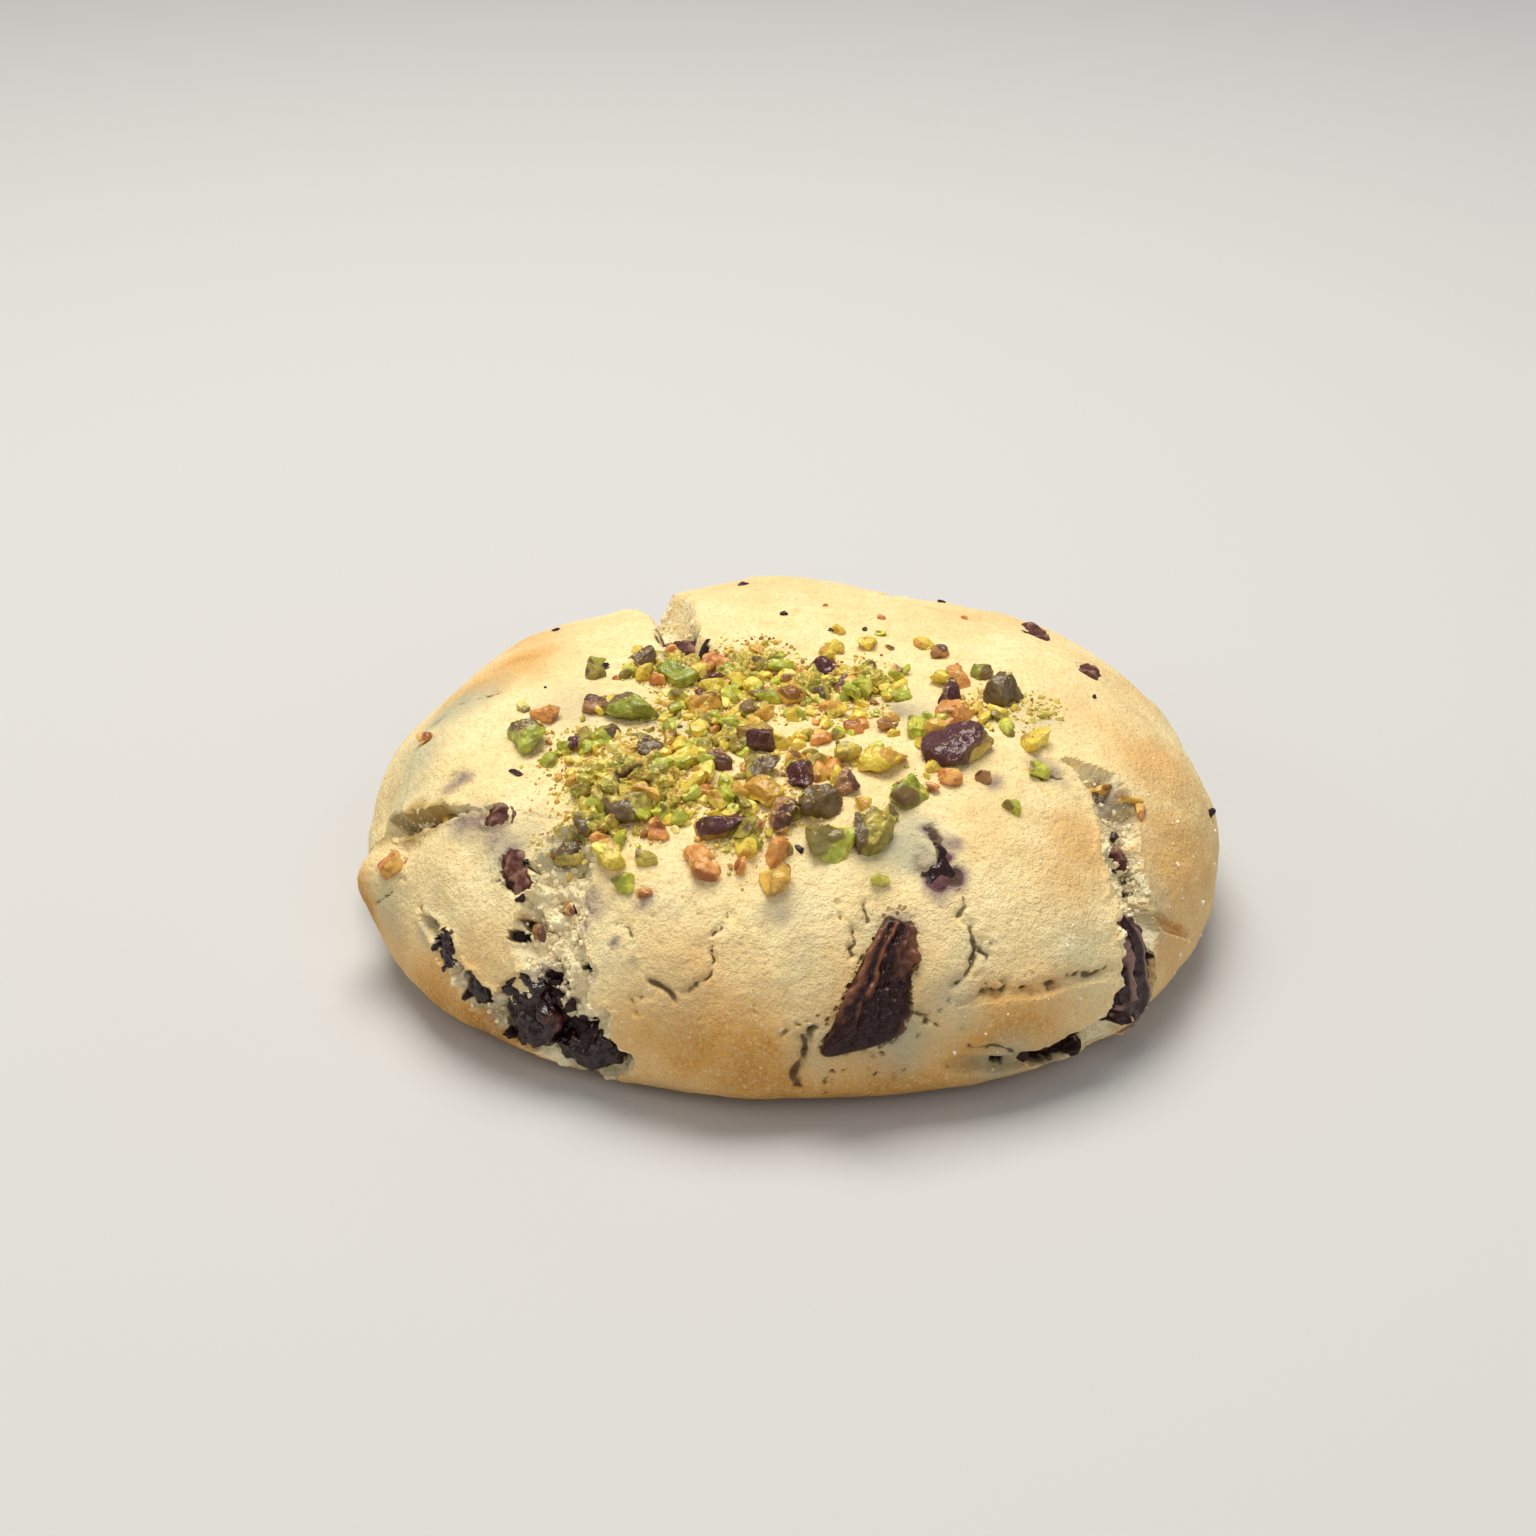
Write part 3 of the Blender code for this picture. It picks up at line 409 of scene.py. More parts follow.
def smooth_point(bearing, reach):
    """The point of the unsplit form `reach` mm along the crust from the middle of the top."""
    radius = 1 / np.hypot(np.cos(bearing) / (WIDTH / 2), np.sin(bearing) / (DEPTH / 2))
    out = radius * np.interp(reach, REACH, SPREAD)
    height = np.interp(reach, REACH, RISE)
    return np.stack([out * np.cos(bearing), out * np.sin(bearing), height], -1)


def outward(bearing, reach):
    """The crust's outward direction there, kept level below the waist."""
    step, turn = 0.05, 0.001
    near = np.clip(reach, 0.3, FOOT_REACH - 0.3)
    down = smooth_point(bearing, near + step) - smooth_point(bearing, near - step)
    round_it = smooth_point(bearing + turn, near) - smooth_point(bearing - turn, near)
    normal = np.cross(down, round_it)
    normal[:, 2] = normal[:, 2].clip(0)
    return normal / np.linalg.norm(normal, axis=1, keepdims=True)


def on_plan(places):
    """Points of the unsplit form at places on the unrolled plan."""
    across, away = np.asarray(places, float).T
    return smooth_point(np.arctan2(away, across), np.hypot(across, away))


def on_crust(path):
    """The path's points on the unsplit form, with enough between them to follow its curve."""
    knots = np.arange(len(path))
    finer = np.linspace(0, len(path) - 1, PATH_PARTS * (len(path) - 1) + 1)
    return on_plan(np.stack([np.interp(finer, knots, axis) for axis in np.transpose(path)], 1))


def beside(points, path):
    """Distance from a path on the crust, the side (1 right, -1 left) and the share along it."""
    route = on_crust(path)
    lengths = np.linalg.norm(np.diff(route, axis=0), axis=1)
    nearest = np.full(len(points), np.inf)
    side, along = np.ones(len(points)), np.zeros(len(points))
    walked = 0.0
    for start, end, length in zip(route[:-1], route[1:], lengths):
        ahead = (end - start) / length
        share = np.clip((points - start) @ ahead, 0, length)
        off = points - start - share[:, None] * ahead
        distance = np.linalg.norm(off, axis=1)
        closer = distance < nearest
        upward = np.array([0, 0, 1.0]) if abs(ahead[2]) < STEEP else (start + end) / 2
        right = np.cross(ahead, upward)
        nearest[closer] = distance[closer]
        side[closer] = np.sign(off[closer] @ right)
        along[closer] = (walked + share[closer]) / lengths.sum()
        walked += length
    return nearest, side, along


def split_relief(points, start_width, end_width, depth, step, *path):
    """How far a split lifts the crust beside it and opens it, and how far off its middle is."""
    distance, side, along = beside(points, path)
    half = (start_width + (end_width - start_width) * along) / 2
    half *= POINT_WIDTH + (1 - POINT_WIDTH) * smoothstep(0, POINTED, along)
    half *= 1 + unevenness(points, WANDER)
    floor = 1 - smoothstep(*WALL, distance / half)
    lip, place, spread, more = LIP
    rim = lip * depth * np.exp(-(((distance - half * place) / (half * spread + more)) ** 2))
    raised = (rim + step * side * np.exp(-distance / STEP_REACH) / 2) * (1 - floor)
    share, reach = VALLEY
    valley = share * np.exp(-((distance / (half + reach)) ** 2))
    deepening = POINT_DEPTH + (1 - POINT_DEPTH) * smoothstep(0, DEEPENING, along)
    return deepening * raised, deepening * depth * np.maximum(floor, valley), distance - half


def crust(bearing, reach, splits=SPLITS):
    """The risen crust: unsplit points, outward directions, lift, distance from a split's edge."""
    points, normals = smooth_point(bearing, reach), outward(bearing, reach)
    lift = unevenness(points, BUMPS)
    for x, y, radius, height in SWELLS:
        middle = on_plan([(x, y)])[0]
        lift += height * np.exp(-((points - middle) ** 2).sum(1) / radius**2)
    opened = np.zeros(len(points))
    edge = np.full(len(points), 99.0)
    for row in splits:
        raised, cut, off = split_relief(points, *row)
        lift += raised
        opened = np.maximum(opened, cut)
        if row[1] > NARROW:
            edge = np.minimum(edge, off)
    return points, normals, lift - opened, edge


def settle(points, normals, lift, reach):
    """Lift the points off the unsplit form, less and less towards the foot."""
    placed = points + normals * (lift * smoothstep(0, FOOT_FADE, FOOT_REACH - reach))[:, None]
    placed[:, :2] -= OUTLINE_MIDDLE
    placed[:, 2] = placed[:, 2].clip(0)
    return placed


def seat(x, y, splits=SPLITS):
    """Where a piece sits on the crust: the point and the outward direction."""
    bearing, reach = np.array([math.atan2(y, x)]), np.array([math.hypot(x, y)])
    points, normals, lift, _ = crust(bearing, reach, splits)
    return Vector(settle(points, normals, lift, reach)[0]), Vector(normals[0])


# ---- meshes ----


def ball(level):
    """A unit ball of triangles."""
    mesh = bmesh.new()
    bmesh.ops.create_icosphere(mesh, subdivisions=level, radius=1)
    return mesh


def points_of(mesh):
    return np.array([vertex.co for vertex in mesh.verts])


def read_points(data):
    flat = np.empty(len(data.vertices) * 3, np.float32)
    data.vertices.foreach_get("co", flat)
    return flat.reshape(-1, 3).astype(float)


def write_points(data, points):
    data.vertices.foreach_set("co", points.astype(np.float32).ravel())
    data.update()


def mark(data, name, values):
    """Keep a number for each point of the mesh, for its material."""
    kept = data.attributes.get(name) or data.attributes.new(name, "FLOAT", "POINT")
    kept.data.foreach_set("value", np.asarray(values, np.float32))


def show(data, name, material, slot, *nodes):
    """A finished piece, flat where it meets the floor: its mesh is in millimetres until here."""
    points = read_points(data)
    points[:, 2] = points[:, 2].clip(0)
    write_points(data, points * MM)
    data.materials.clear()
    data.materials.append(material)
    piece = bpy.data.objects.new(name, data)
    bpy.context.scene.collection.objects.link(piece)
    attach(piece, "root")
    if nodes:
        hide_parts(*nodes)
    return piece


def from_bmesh(mesh, name):
    data = bpy.data.meshes.new(name)
    mesh.to_mesh(data)
    mesh.free()
    data.shade_smooth()
    return data


def plain_mesh(thing):
    """What the object's modifiers make of it, as a mesh of its own; the object goes."""
    evaluated = thing.evaluated_get(bpy.context.evaluated_depsgraph_get())
    data = bpy.data.meshes.new_from_object(evaluated)
    bpy.data.objects.remove(thing, do_unlink=True)
    return data


# ---- the dough ----


def patches(points, rows):
    """How strongly each point lies in any of some soft-edged, uneven patches of the crust."""
    strength = np.zeros(len(points))
    for x, y, radius, share in rows:
        middle = on_plan([(x, y)])[0]
        near = ((points - middle) ** 2).sum(1)
        strength = np.maximum(strength, share * np.exp(-near / radius**2))
    return strength


def chunk_frame(row):
    """Where a chunk of chocolate lies: its middle, and its long, broad and thick directions."""
    x, y, _, _, thickness, turn, _, _, _, proud = row
    point, normal = seat(x, y, splits=())
    down = Vector((0, 0, -1)) if normal.z < 0.9 else Vector((point.x, point.y, 0))
    down = (down - down.dot(normal) * normal).normalized()
    down.rotate(Matrix.Rotation(math.radians(turn), 3, normal))
    axes = np.array([down, normal.cross(down), normal])
    return np.array(point + normal * (proud - thickness / 2)), axes


def chunk_footprint(points, row):
    """For points near a chunk: how far out of its middle they are, and their height above it."""
    _, _, length, breadth, thickness, _, flare, slant, squareness, _ = row
    middle, axes = chunk_frame(row)
    down, right, up = ((points - middle) @ axes.T).T
    share = (down * 2 / length).clip(-1.3, 1.3)
    down = down + slant * right * (1 + share) / 2
    share = (down * 2 / length).clip(-1.3, 1.3)
    right = right / (1 + flare * share)
    out = np.abs(down * 2 / length) ** squareness + np.abs(right * 2 / breadth) ** squareness
    return out ** (1 / squareness), up / (thickness / 2)


def evened(data, values, rounds):
    """The values of a mesh's points, averaged with their neighbours' a few times over."""
    pairs = np.empty(len(data.edges) * 2, np.int32)
    data.edges.foreach_get("vertices", pairs)
    start, end = pairs.reshape(-1, 2).T
    count = np.bincount(pairs, minlength=len(values))
    for _ in range(rounds):
        near = np.bincount(start, values[end], len(values))
        near += np.bincount(end, values[start], len(values))
        values = (values + near / count) / 2
    return values


def strayed(points, shifts, layers):
    """The points, moved about by noise, so that what follows them wanders."""
    return points + np.stack([unevenness(points + shift, layers) for shift in shifts], 1)


def crumble(points, lift, crumb):
    """Sink the crumb in rounded clumps with creases; return painted shade for creases and holes."""
    clumps = sum(height * np.abs(grain_noise(points, size, seed)) for size, height, seed in CLUMPS)
    clumps += unevenness(points, CRUMB_GRAIN)
    lift += crumb * (clumps - CRUST_THICKNESS)
    crease_shade = 0.5 * crumb * (1 - smoothstep(*CREASE, clumps))
    deep = patches(points, HOLES)
    deep = smoothstep(*HOLE_EDGE, deep + (deep > 0.1) * unevenness(points, HOLE_WANDER))
    lift -= HOLE_DEPTH * deep
    return np.maximum(crease_shade, 2 * deep)


def open_pits(points, lift, skin):
    """Open small pits and fissures in the crust; return the painted shade in them."""
    pitted = patches(points, PITTED) * skin
    pit = spots(points, *PIT_SPOTS) * pitted
    pit *= spots(points, *PIT_FIELDS)
    lift -= PIT_DEPTH * pit
    wriggle = np.abs(grain_noise(points, *FISSURE_LINES))
    fissure = (1 - smoothstep(*FISSURE_EDGE, wriggle)) * smoothstep(*FISSURED, pitted)
    fissure *= spots(points, *FISSURE_FIELDS)
    lift -= FISSURE_DEPTH * fissure
    return np.maximum(pit, fissure)


def open_beds(points, placed, lift):
    """Open the crust where chocolate shows, and draw a thin veil of it over the rest."""
    for name, row in CHUNKS.items():
        middle, _ = chunk_frame(row)
        shown = SURFACES[name][2]
        near = ((placed - middle) ** 2).sum(1) < (row[2] * 0.9 + 3) ** 2
        out, up = chunk_footprint(placed[near], row)
        out = out + unevenness(points[near], BED_WANDER)
        under = (1 - out.clip(0, 1) ** row[8]) ** (1 / row[8])
        above = (up - under) * row[4] / 2
        opened = 1 - smoothstep(shown - BED_EDGE, shown + BED_EDGE, out)
        lift[near] -= opened * (above + BED_GAP).clip(0, BED_DEPTH)
        veiled = (1 - opened) * (1 - smoothstep(*VEIL_EDGE, out))
        lift[near] += veiled * (VEIL - above).clip(0)


def open_cracks(points, lift):
    """Cut the hairline cracks; return the mark for the line of painted shade down their middle."""
    wandering = strayed(points, (0, 40, 80), CRACK_WANDER)
    crack = np.zeros(len(points))
    for width, depth, *path in CRACKS:
        middle = on_crust(path).mean(0)
        near = ((points - middle) ** 2).sum(1) < CRACK_SPAN**2
        distance, _, along = beside(wandering[near], path)
        gape = (0.7 + 0.7 * grain_noise(points[near], *CRACK_GAPE)).clip(0.15)
        ends = smoothstep(*CRACK_ENDS, along) * smoothstep(*CRACK_ENDS, 1 - along)
        lift[near] -= depth * ends * gape * np.exp(-((distance / width) ** 2))
        line = 1 - distance / (CRACK_REACH * width) - 0.10 * (1.2 - gape)
        crack[near] = np.maximum(crack[near], ends * line)
    return crack


def dough():
    """The lump of dough: a ball drawn out to the section, split, cracked and broken open."""
    data = from_bmesh(ball(DOUGH_LEVEL), "dough")
    unit = read_points(data)
    unit /= np.linalg.norm(unit, axis=1, keepdims=True)
    bearing = np.arctan2(unit[:, 1], unit[:, 0])
    bearing -= FINER_FRONT * np.cos(bearing)
    polar = np.arccos(unit[:, 2].clip(-1, 1)) / math.pi
    reach = np.interp(polar, (0, FOOT_POLAR, 1), (0, FOOT_REACH, FULL_REACH))
    points, normals, lift, edge = crust(bearing, reach)
    above_foot = FOOT_REACH - reach
    rear = smoothstep(*REAR, points[:, 1])
    closed = patches(points, CLOSED)

    edge = edge + unevenness(points, EDGE_WANDER)
    edge += rear * unevenness(points, REAR_WANDER)
    edge += CLOSED_BY * closed
    crumb = 1 - smoothstep(*BROKEN_EDGE, edge)
    skin = 1 - crumb
    lift += skin * unevenness(points, SKIN_UNEVENNESS)
    lift += EDGE_LIP * np.exp(-(((edge - EDGE_LIP_PLACE) / EDGE_LIP_PLACE) ** 2))
    hole = crumble(points, lift, crumb)
    hole = np.maximum(hole, open_pits(points, lift, skin))
    open_beds(points, settle(points, normals, lift, reach), lift)
    crack = open_cracks(points, lift)
    smeared = patches(points, SMEARED)
    smeared += (smeared > 0.1) * unevenness(points, SMEAR_WANDER)
    lift += SMEAR_HEIGHT * smoothstep(*SMEAR_EDGE, smeared) * grain_noise(points, *SMEAR_LUMPS)
    lift += np.maximum(rear, closed) * (evened(data, lift, 4) - lift)
    write_points(data, settle(points, normals, lift, reach))

    warped = strayed(points, (0, 50, 90), STAIN_WANDER)
    mauve = patches(warped, MAUVE)
    mauve += (mauve > 0.3) * unevenness(points, MAUVE_WANDER)
    # the foot's colour: partly browning, partly painted shade where it meets the floor
    rim = sum(share * smoothstep(high, low, above_foot) for share, high, low in FOOT_BROWNING_AND_SHADE)
    golden = patches(warped, GOLDEN) + rim + unevenness(points, BLOTCHES)
    loose = crumb * patches(points, CRUMBLED) * (1 - smoothstep(*CRUMBS_STICK, smeared))
    sprinkled = smoothstep(*SPRINKLE_EDGE, patches(warped, SPRINKLED))
    marks = {
        "crumb": crumb,
        # painted shade in creases, pits, fissures and deep holes
        "hole": hole,
        # painted shade down the middle of the cracks
        "crack": crack,
        # golden: browning, and near the foot also painted shade
        "golden": golden - 0.3 * crumb,
        "greyed": patches(warped, GREYED),
        "mauve": mauve,
        "nutty": patches(points, NUTTY),
        "smeared": smeared,
        "sprinkled": sprinkled * (reach < STREWN_REACH),
        "sugared": patches(warped, SUGARED),
        "crumbled": loose * smoothstep(*CRUMBS_FROM, above_foot),
    }
    for name, values in marks.items():
        mark(data, name, values)

    lump = bpy.data.objects.new("lump", data)
    bpy.context.scene.collection.objects.link(lump)
    thin = lump.modifiers.new("Thin", "DECIMATE")
    thin.ratio = min(1, DOUGH_FACES / len(data.polygons))
    data = plain_mesh(lump)
    data.set_sharp_from_angle(angle=BROKEN)
    return data


# ---- chocolate ----


CHUNK_WEAR = ((3.0, 0.10, 21),)
LARGE_CHUNK = 7  # mm; longer chunks get a finer mesh
CHUNK_CLEAR = 0.1  # how far the chunks stay off the floor


def chunk_mesh(name, row, level):
    """A chunk of chocolate: squared sides and broken corners, then its own surface."""
    _, _, length, breadth, thickness, _, flare, slant, squareness, _ = row
    data = from_bmesh(ball(level), name)
    ray = read_points(data)
    square = ray / (np.abs(ray) ** squareness).sum(1, keepdims=True) ** (1 / squareness)
    unit = np.abs(square) ** (squareness / 2) * np.sign(square)
    size = np.array([length, breadth, thickness]) / 2
    worn = 1 + unevenness(unit * size + row[0], CHUNK_WEAR)
    shape = square * size * worn[:, None]
    share = shape[:, 0] / size[0]
    shape[:, 1] *= 1 + flare * share
    shape[:, 0] -= slant * shape[:, 1] * (1 + share) / 2
    away = np.abs(square) ** (squareness - 1) * np.sign(square) / size
    away /= np.linalg.norm(away, axis=1, keepdims=True)
    surface = SURFACES[name][0]
    relief, ridge = surface(shape, square * size, size, unit)
    shape = shape + away * relief[:, None]
    middle, axes = chunk_frame(row)
    placed = shape @ axes + middle
    placed[:, 2] = placed[:, 2].clip(CHUNK_CLEAR)
    write_points(data, placed)
    # where a chunk is painted paler: its ridges and lumps, partly as painted sheen and glints
    mark(data, "ridge", ridge)
    return data


def slab_surface(shape, square, size, unit):
    """A broken face: two ridges along its left, a rough upper right, a dark lower part."""
    left = square[:, 1] / size[1] + unevenness(shape, ((2.6, 0.12, 80), (1.0, 0.06, 79)))
    down = square[:, 0] / size[0]
    top = smoothstep(0.2, 0.7, unit[:, 2])
    ridges = np.exp(-(((left + 0.84) / 0.14) ** 2)) + 0.9 * np.exp(-(((left + 0.40) / 0.11) ** 2))
    ridges *= (1 - smoothstep(0.1, 0.8, down)) * spots(shape, 1.4, 78, -0.7, 0.0)
    upper = smoothstep(-0.3, 0.5, left) * (1 - smoothstep(-0.5, 0.2, down))
    ragged = smoothstep(0.5, 1.0, left) * unevenness(shape, ((2.0, 0.7, 81), (0.9, 0.4, 82)))
    grain = unevenness(shape, ((1.3, 0.30, 83), (0.6, 0.30, 84), (0.35, 0.18, 85)))
    # tiny flecks painted pale as glints
    glint_flecks = spots(shape, 0.55, 86, 0.45, 0.75)
    relief = top * (0.45 * ridges + grain + 0.3 * upper) + ragged
    # paler where the ridges and the rough face are, with painted glints on the flecks
    light = 0.8 * ridges + 0.8 * upper * (0.6 + grain).clip(0) + 0.6 * glint_flecks
    return relief, top * light + 0.5 * smoothstep(0.85, 1.0, left)


def folded_surface(shape, square, size, unit):
    """Soft chocolate that pulled into folds down its length, painted paler on their crests as
    sheen.
    """
    swing = grain_noise(shape * np.array([0.5, 1, 1]), 3.6, 87)
    wave = np.sin(shape[:, 1] * 2.2 + 7.0 * swing)
    lumps = unevenness(shape, ((3.0, 0.6, 88), (1.1, 0.30, 89), (0.5, 0.10, 90)))
    return 0.25 * wave + lumps, smoothstep(0.3, 1.3, wave + 1.2 * lumps)


def melted_surface(shape, square, size, unit):
    """Chocolate that melted into shiny lumps with hollows between, their tops painted as sheen."""
    lumps = unevenness(shape + size[0], ((2.6, 0.8, 91), (1.3, 0.45, 92), (0.7, 0.2, 93)))
    return lumps, smoothstep(0.3, 1.0, lumps)


def dull_surface(shape, square, size, unit):
    """Chocolate level with the crust, with a dull and crumbly face."""
    lumps = unevenness(shape + size[0], ((2.2, 0.40, 98), (1.0, 0.32, 99), (0.45, 0.16, 100)))
    return lumps, smoothstep(0.0, 0.4, lumps)


def hidden_surface(shape, square, size, unit):
    """Chocolate just under the crust, that shows in its cracks only."""
    return 0.1 * grain_noise(shape, 1.2, 97), np.zeros(len(shape))


def crumbly_surface(shape, square, size, unit):
    """Chocolate with a crumbly broken face."""
    lumps = unevenness(shape + size[0] * 3, ((1.9, 0.5, 94), (0.9, 0.35, 95), (0.45, 0.18, 96)))
    return lumps, smoothstep(0.1, 0.7, lumps)


# How each chunk looks: its surface, its finish, and how much of it the crust leaves open
SURFACES = {
    "chocolate_front": (slab_surface, "broken", 1.02),
    "chocolate_right": (folded_surface, "folded", 0.90),
    "chocolate_low_left": (melted_surface, "melted", 0.95),
    "chocolate_low_front": (melted_surface, "melted", 0.95),
    "chocolate_left_rim": (crumbly_surface, "melted", 0.75),
    "chocolate_left_corner": (melted_surface, "melted", 0.85),
    "chocolate_left_crown": (dull_surface, "dusty", 0.70),
    "chocolate_left_split": (dull_surface, "dusty", 0.85),
    "chocolate_front_crown": (hidden_surface, "melted", -1.0),
    "chocolate_right_crown": (dull_surface, "dusty", 0.85),
    "chocolate_right_split": (dull_surface, "dusty", 0.70),
    "chocolate_notch": (dull_surface, "dusty", 0.90),
    "chocolate_rear_rim": (dull_surface, "dusty", 0.85),
    "chocolate_rear_right": (folded_surface, "folded", 0.90),
    "chocolate_rear_notch": (melted_surface, "melted", 0.90),
    "chocolate_rear": (slab_surface, "broken", 1.0),
    "chocolate_rear_left": (melted_surface, "melted", 0.90),
}


# ---- pistachios ----


def clear_of_chocolate(x, y, size):
    return all(
        math.hypot(x - row[0], y - row[1]) > size / 2 + row[2] / 2 + CLEAR_OF_CHOCOLATE
        for row in CHUNKS.values()
    )


def chips(draw):
    """The small chips: thickest in the middle of the sprinkle, none on another or on chocolate."""
    placed = [row[:3] for row in KERNELS]
    rows = []
    while len(rows) < CHIP_COUNT:
        out = SPRINKLE_RADIUS * draw.random() ** CHIP_SPREAD
        bearing = draw.uniform(0, math.tau)
        x = SPRINKLE_MIDDLE[0] + out * math.cos(bearing)
        y = SPRINKLE_MIDDLE[1] + out * math.sin(bearing)
        length = draw.uniform(*CHIP_SIZE)
        turn = draw.uniform(0, 180)
        free = all(
            math.hypot(x - px, y - py) > CHIP_GAP * (length + size) / 2 for px, py, size in placed
        )
        if free and clear_of_chocolate(x, y, length):
            placed.append((x, y, length))
            rows.append((x, y, length, length * CHIP_BREADTH, length * CHIP_HEIGHT, turn))
    return rows


CHIP_KINDS = ("green", "yellow", "tan", "lime", "orange", "yellow", "lime", "brown", "olive")

# Bits finer than the chips: plan x and y, length, breadth, height, turn, kind
BITS = (
    (-3, -4, 4.2, 2.1, 1.8, 30, "lime"), (-14, -21, 2.6, 1.8, 1.6, 70, "yellow"),
    (-12.5, -17.5, 3.0, 2.2, 2.0, 70, "yellow"), (-19, -20, 2.3, 1.7, 1.5, 20, "brown"),
    (-24, -22, 2.9, 2.3, 1.6, 100, "tan"), (-16, -36, 2.6, 1.8, 1.6, 10, "olive"),
    (16, 9.6, 3.4, 1.9, 1.2, 5, "yellow"), (24, -12, 3.2, 1.6, 1.4, 50, "lime"),
    (21.5, -10.5, 2.8, 1.4, 1.2, 10, "yellow"), (15.5, -21.5, 2.6, 1.8, 1.6, 70, "yellow"),
    (11.2, 12.3, 1.6, 1.1, 0.7, 0, "lime"), (11.9, 8.5, 1.3, 0.9, 0.7, 20, "olive"),
    (-1.5, 7, 3.2, 1.6, 1.2, 5, "green"), (4.7, 21.3, 1.0, 0.8, 0.6, 0, "orange"),
    (11.6, 17.6, 1.2, 0.9, 0.7, 40, "orange"), (22, 19.5, 1.2, 0.7, 0.5, 10, "orange"),
    (-19.9, 0, 1.1, 0.9, 0.7, 60, "orange"), (-12.7, -9.4, 1.6, 0.8, 0.7, 140, "olive"),
    (-12.7, -12.5, 0.9, 0.8, 0.6, 0, "olive"), (-42.9, -3.8, 2.0, 1.6, 1.6, 0, "orange"),
    (-47.4, -22.6, 3.4, 2.6, 2.2, 80, "orange"), (-16.3, -40.3, 1.9, 1.0, 0.7, 20, "orange"),
    (-25.7, -38.9, 2.0, 1.2, 1.0, 150, "brown"), (10.3, -12.5, 1.0, 0.7, 0.6, 0, "olive"),
    (11.8, -12.3, 1.1, 0.7, 0.6, 20, "olive"), (39.4, -20.6, 2.4, 1.4, 1.0, 40, "orange"),
    (35.4, -18.2, 4.6, 1.0, 1.0, -28, "tan"), (37.8, -19.6, 3.6, 1.0, 0.9, -32, "tan"),
    (-40.2, -20.2, 3.2, 2.2, 2.0, 20, "tan"), (-42.4, -19.4, 3.0, 2.4, 1.8, 80, "olive"),
    (-44.6, -18.2, 2.8, 2.0, 1.8, 140, "tan"), (-38.6, -21.0, 2.0, 1.6, 1.2, 50, "green"),
    (-30.0, -40.6, 2.0, 1.6, 1.0, 120, "brown"),
)
# Fragments heaped between the larger pieces: plan x and y, radius, number, height of the heap
CLUSTERS = (
    (-14, 3, 4.5, 16, 0.8), (-4, 4, 6.0, 26, 0.6), (-6, -3, 4.0, 16, 0.8), (-9, -12, 3.5, 12, 0.6),
    (-24, -19, 3.5, 9, 0.4), (-17, -24, 5.5, 22, 1.6), (-22, -26, 4.5, 10, 0.8),
    (-9, -18, 4.5, 20, 0.6), (-12, -24, 4.0, 14, 0.8), (-7, -30, 4.5, 16, 0.5),
    (-4, -36, 4.0, 10, 0.4), (-14, -29, 3.0, 9, 0.4), (3, -2, 4.5, 14, 1.0), (8, -2, 4.5, 12, 1.2),
    (3, -9, 4.0, 14, 0.5), (1, -20, 3.5, 9, 0.4), (14, -12, 3.5, 9, 0.4), (23, -9, 3.5, 9, 0.3),
    (15, -1, 4.0, 8, 0.4), (-22, -11, 6.0, 12, 0.3), (-20, -33, 4.0, 9, 0.4),
    (-3, -16, 16.0, 46, 0.0), (8, -14, 14.0, 20, 0.0),
)
FRAGMENT_SIZE = (0.8, 3.3)
FRAGMENT_BREADTH, FRAGMENT_HEIGHT = (0.55, 0.95), (0.5, 0.9)  # as shares of the length
MOSTLY_FINE = 1.6  # the power that makes large fragments rare
FRAGMENT_KINDS = ("yellow",) * 4 + ("lime",) * 3 + ("olive", "tan", "orange")

# Nut chopped so fine that it clings together in heaps: plan x and y, length, breadth, height, turn
MEAL = (
    (-17.5, -24.0, 9.5, 7.0, 5.2, 20), (-21.5, -22.0, 6.0, 4.2, 2.8, 70),
    (-14.0, -26.6, 5.0, 3.6, 2.6, 10), (-21.6, -29.4, 6.4, 3.0, 2.6, 165),
    (-13.0, 3.4, 6.4, 4.6, 3.2, 30), (-5.0, 5.2, 8.0, 4.8, 1.8, 10),
    (-8.0, -16.4, 5.0, 3.6, 2.0, 60), (2.6, -1.6, 6.0, 4.4, 2.8, 40),
    (7.6, -1.0, 7.6, 5.2, 3.8, 100),
)
MEAL_LUMPS = ((2.2, 0.9, 101), (1.1, 0.8, 102), (0.6, 0.5, 103), (0.35, 0.25, 104))

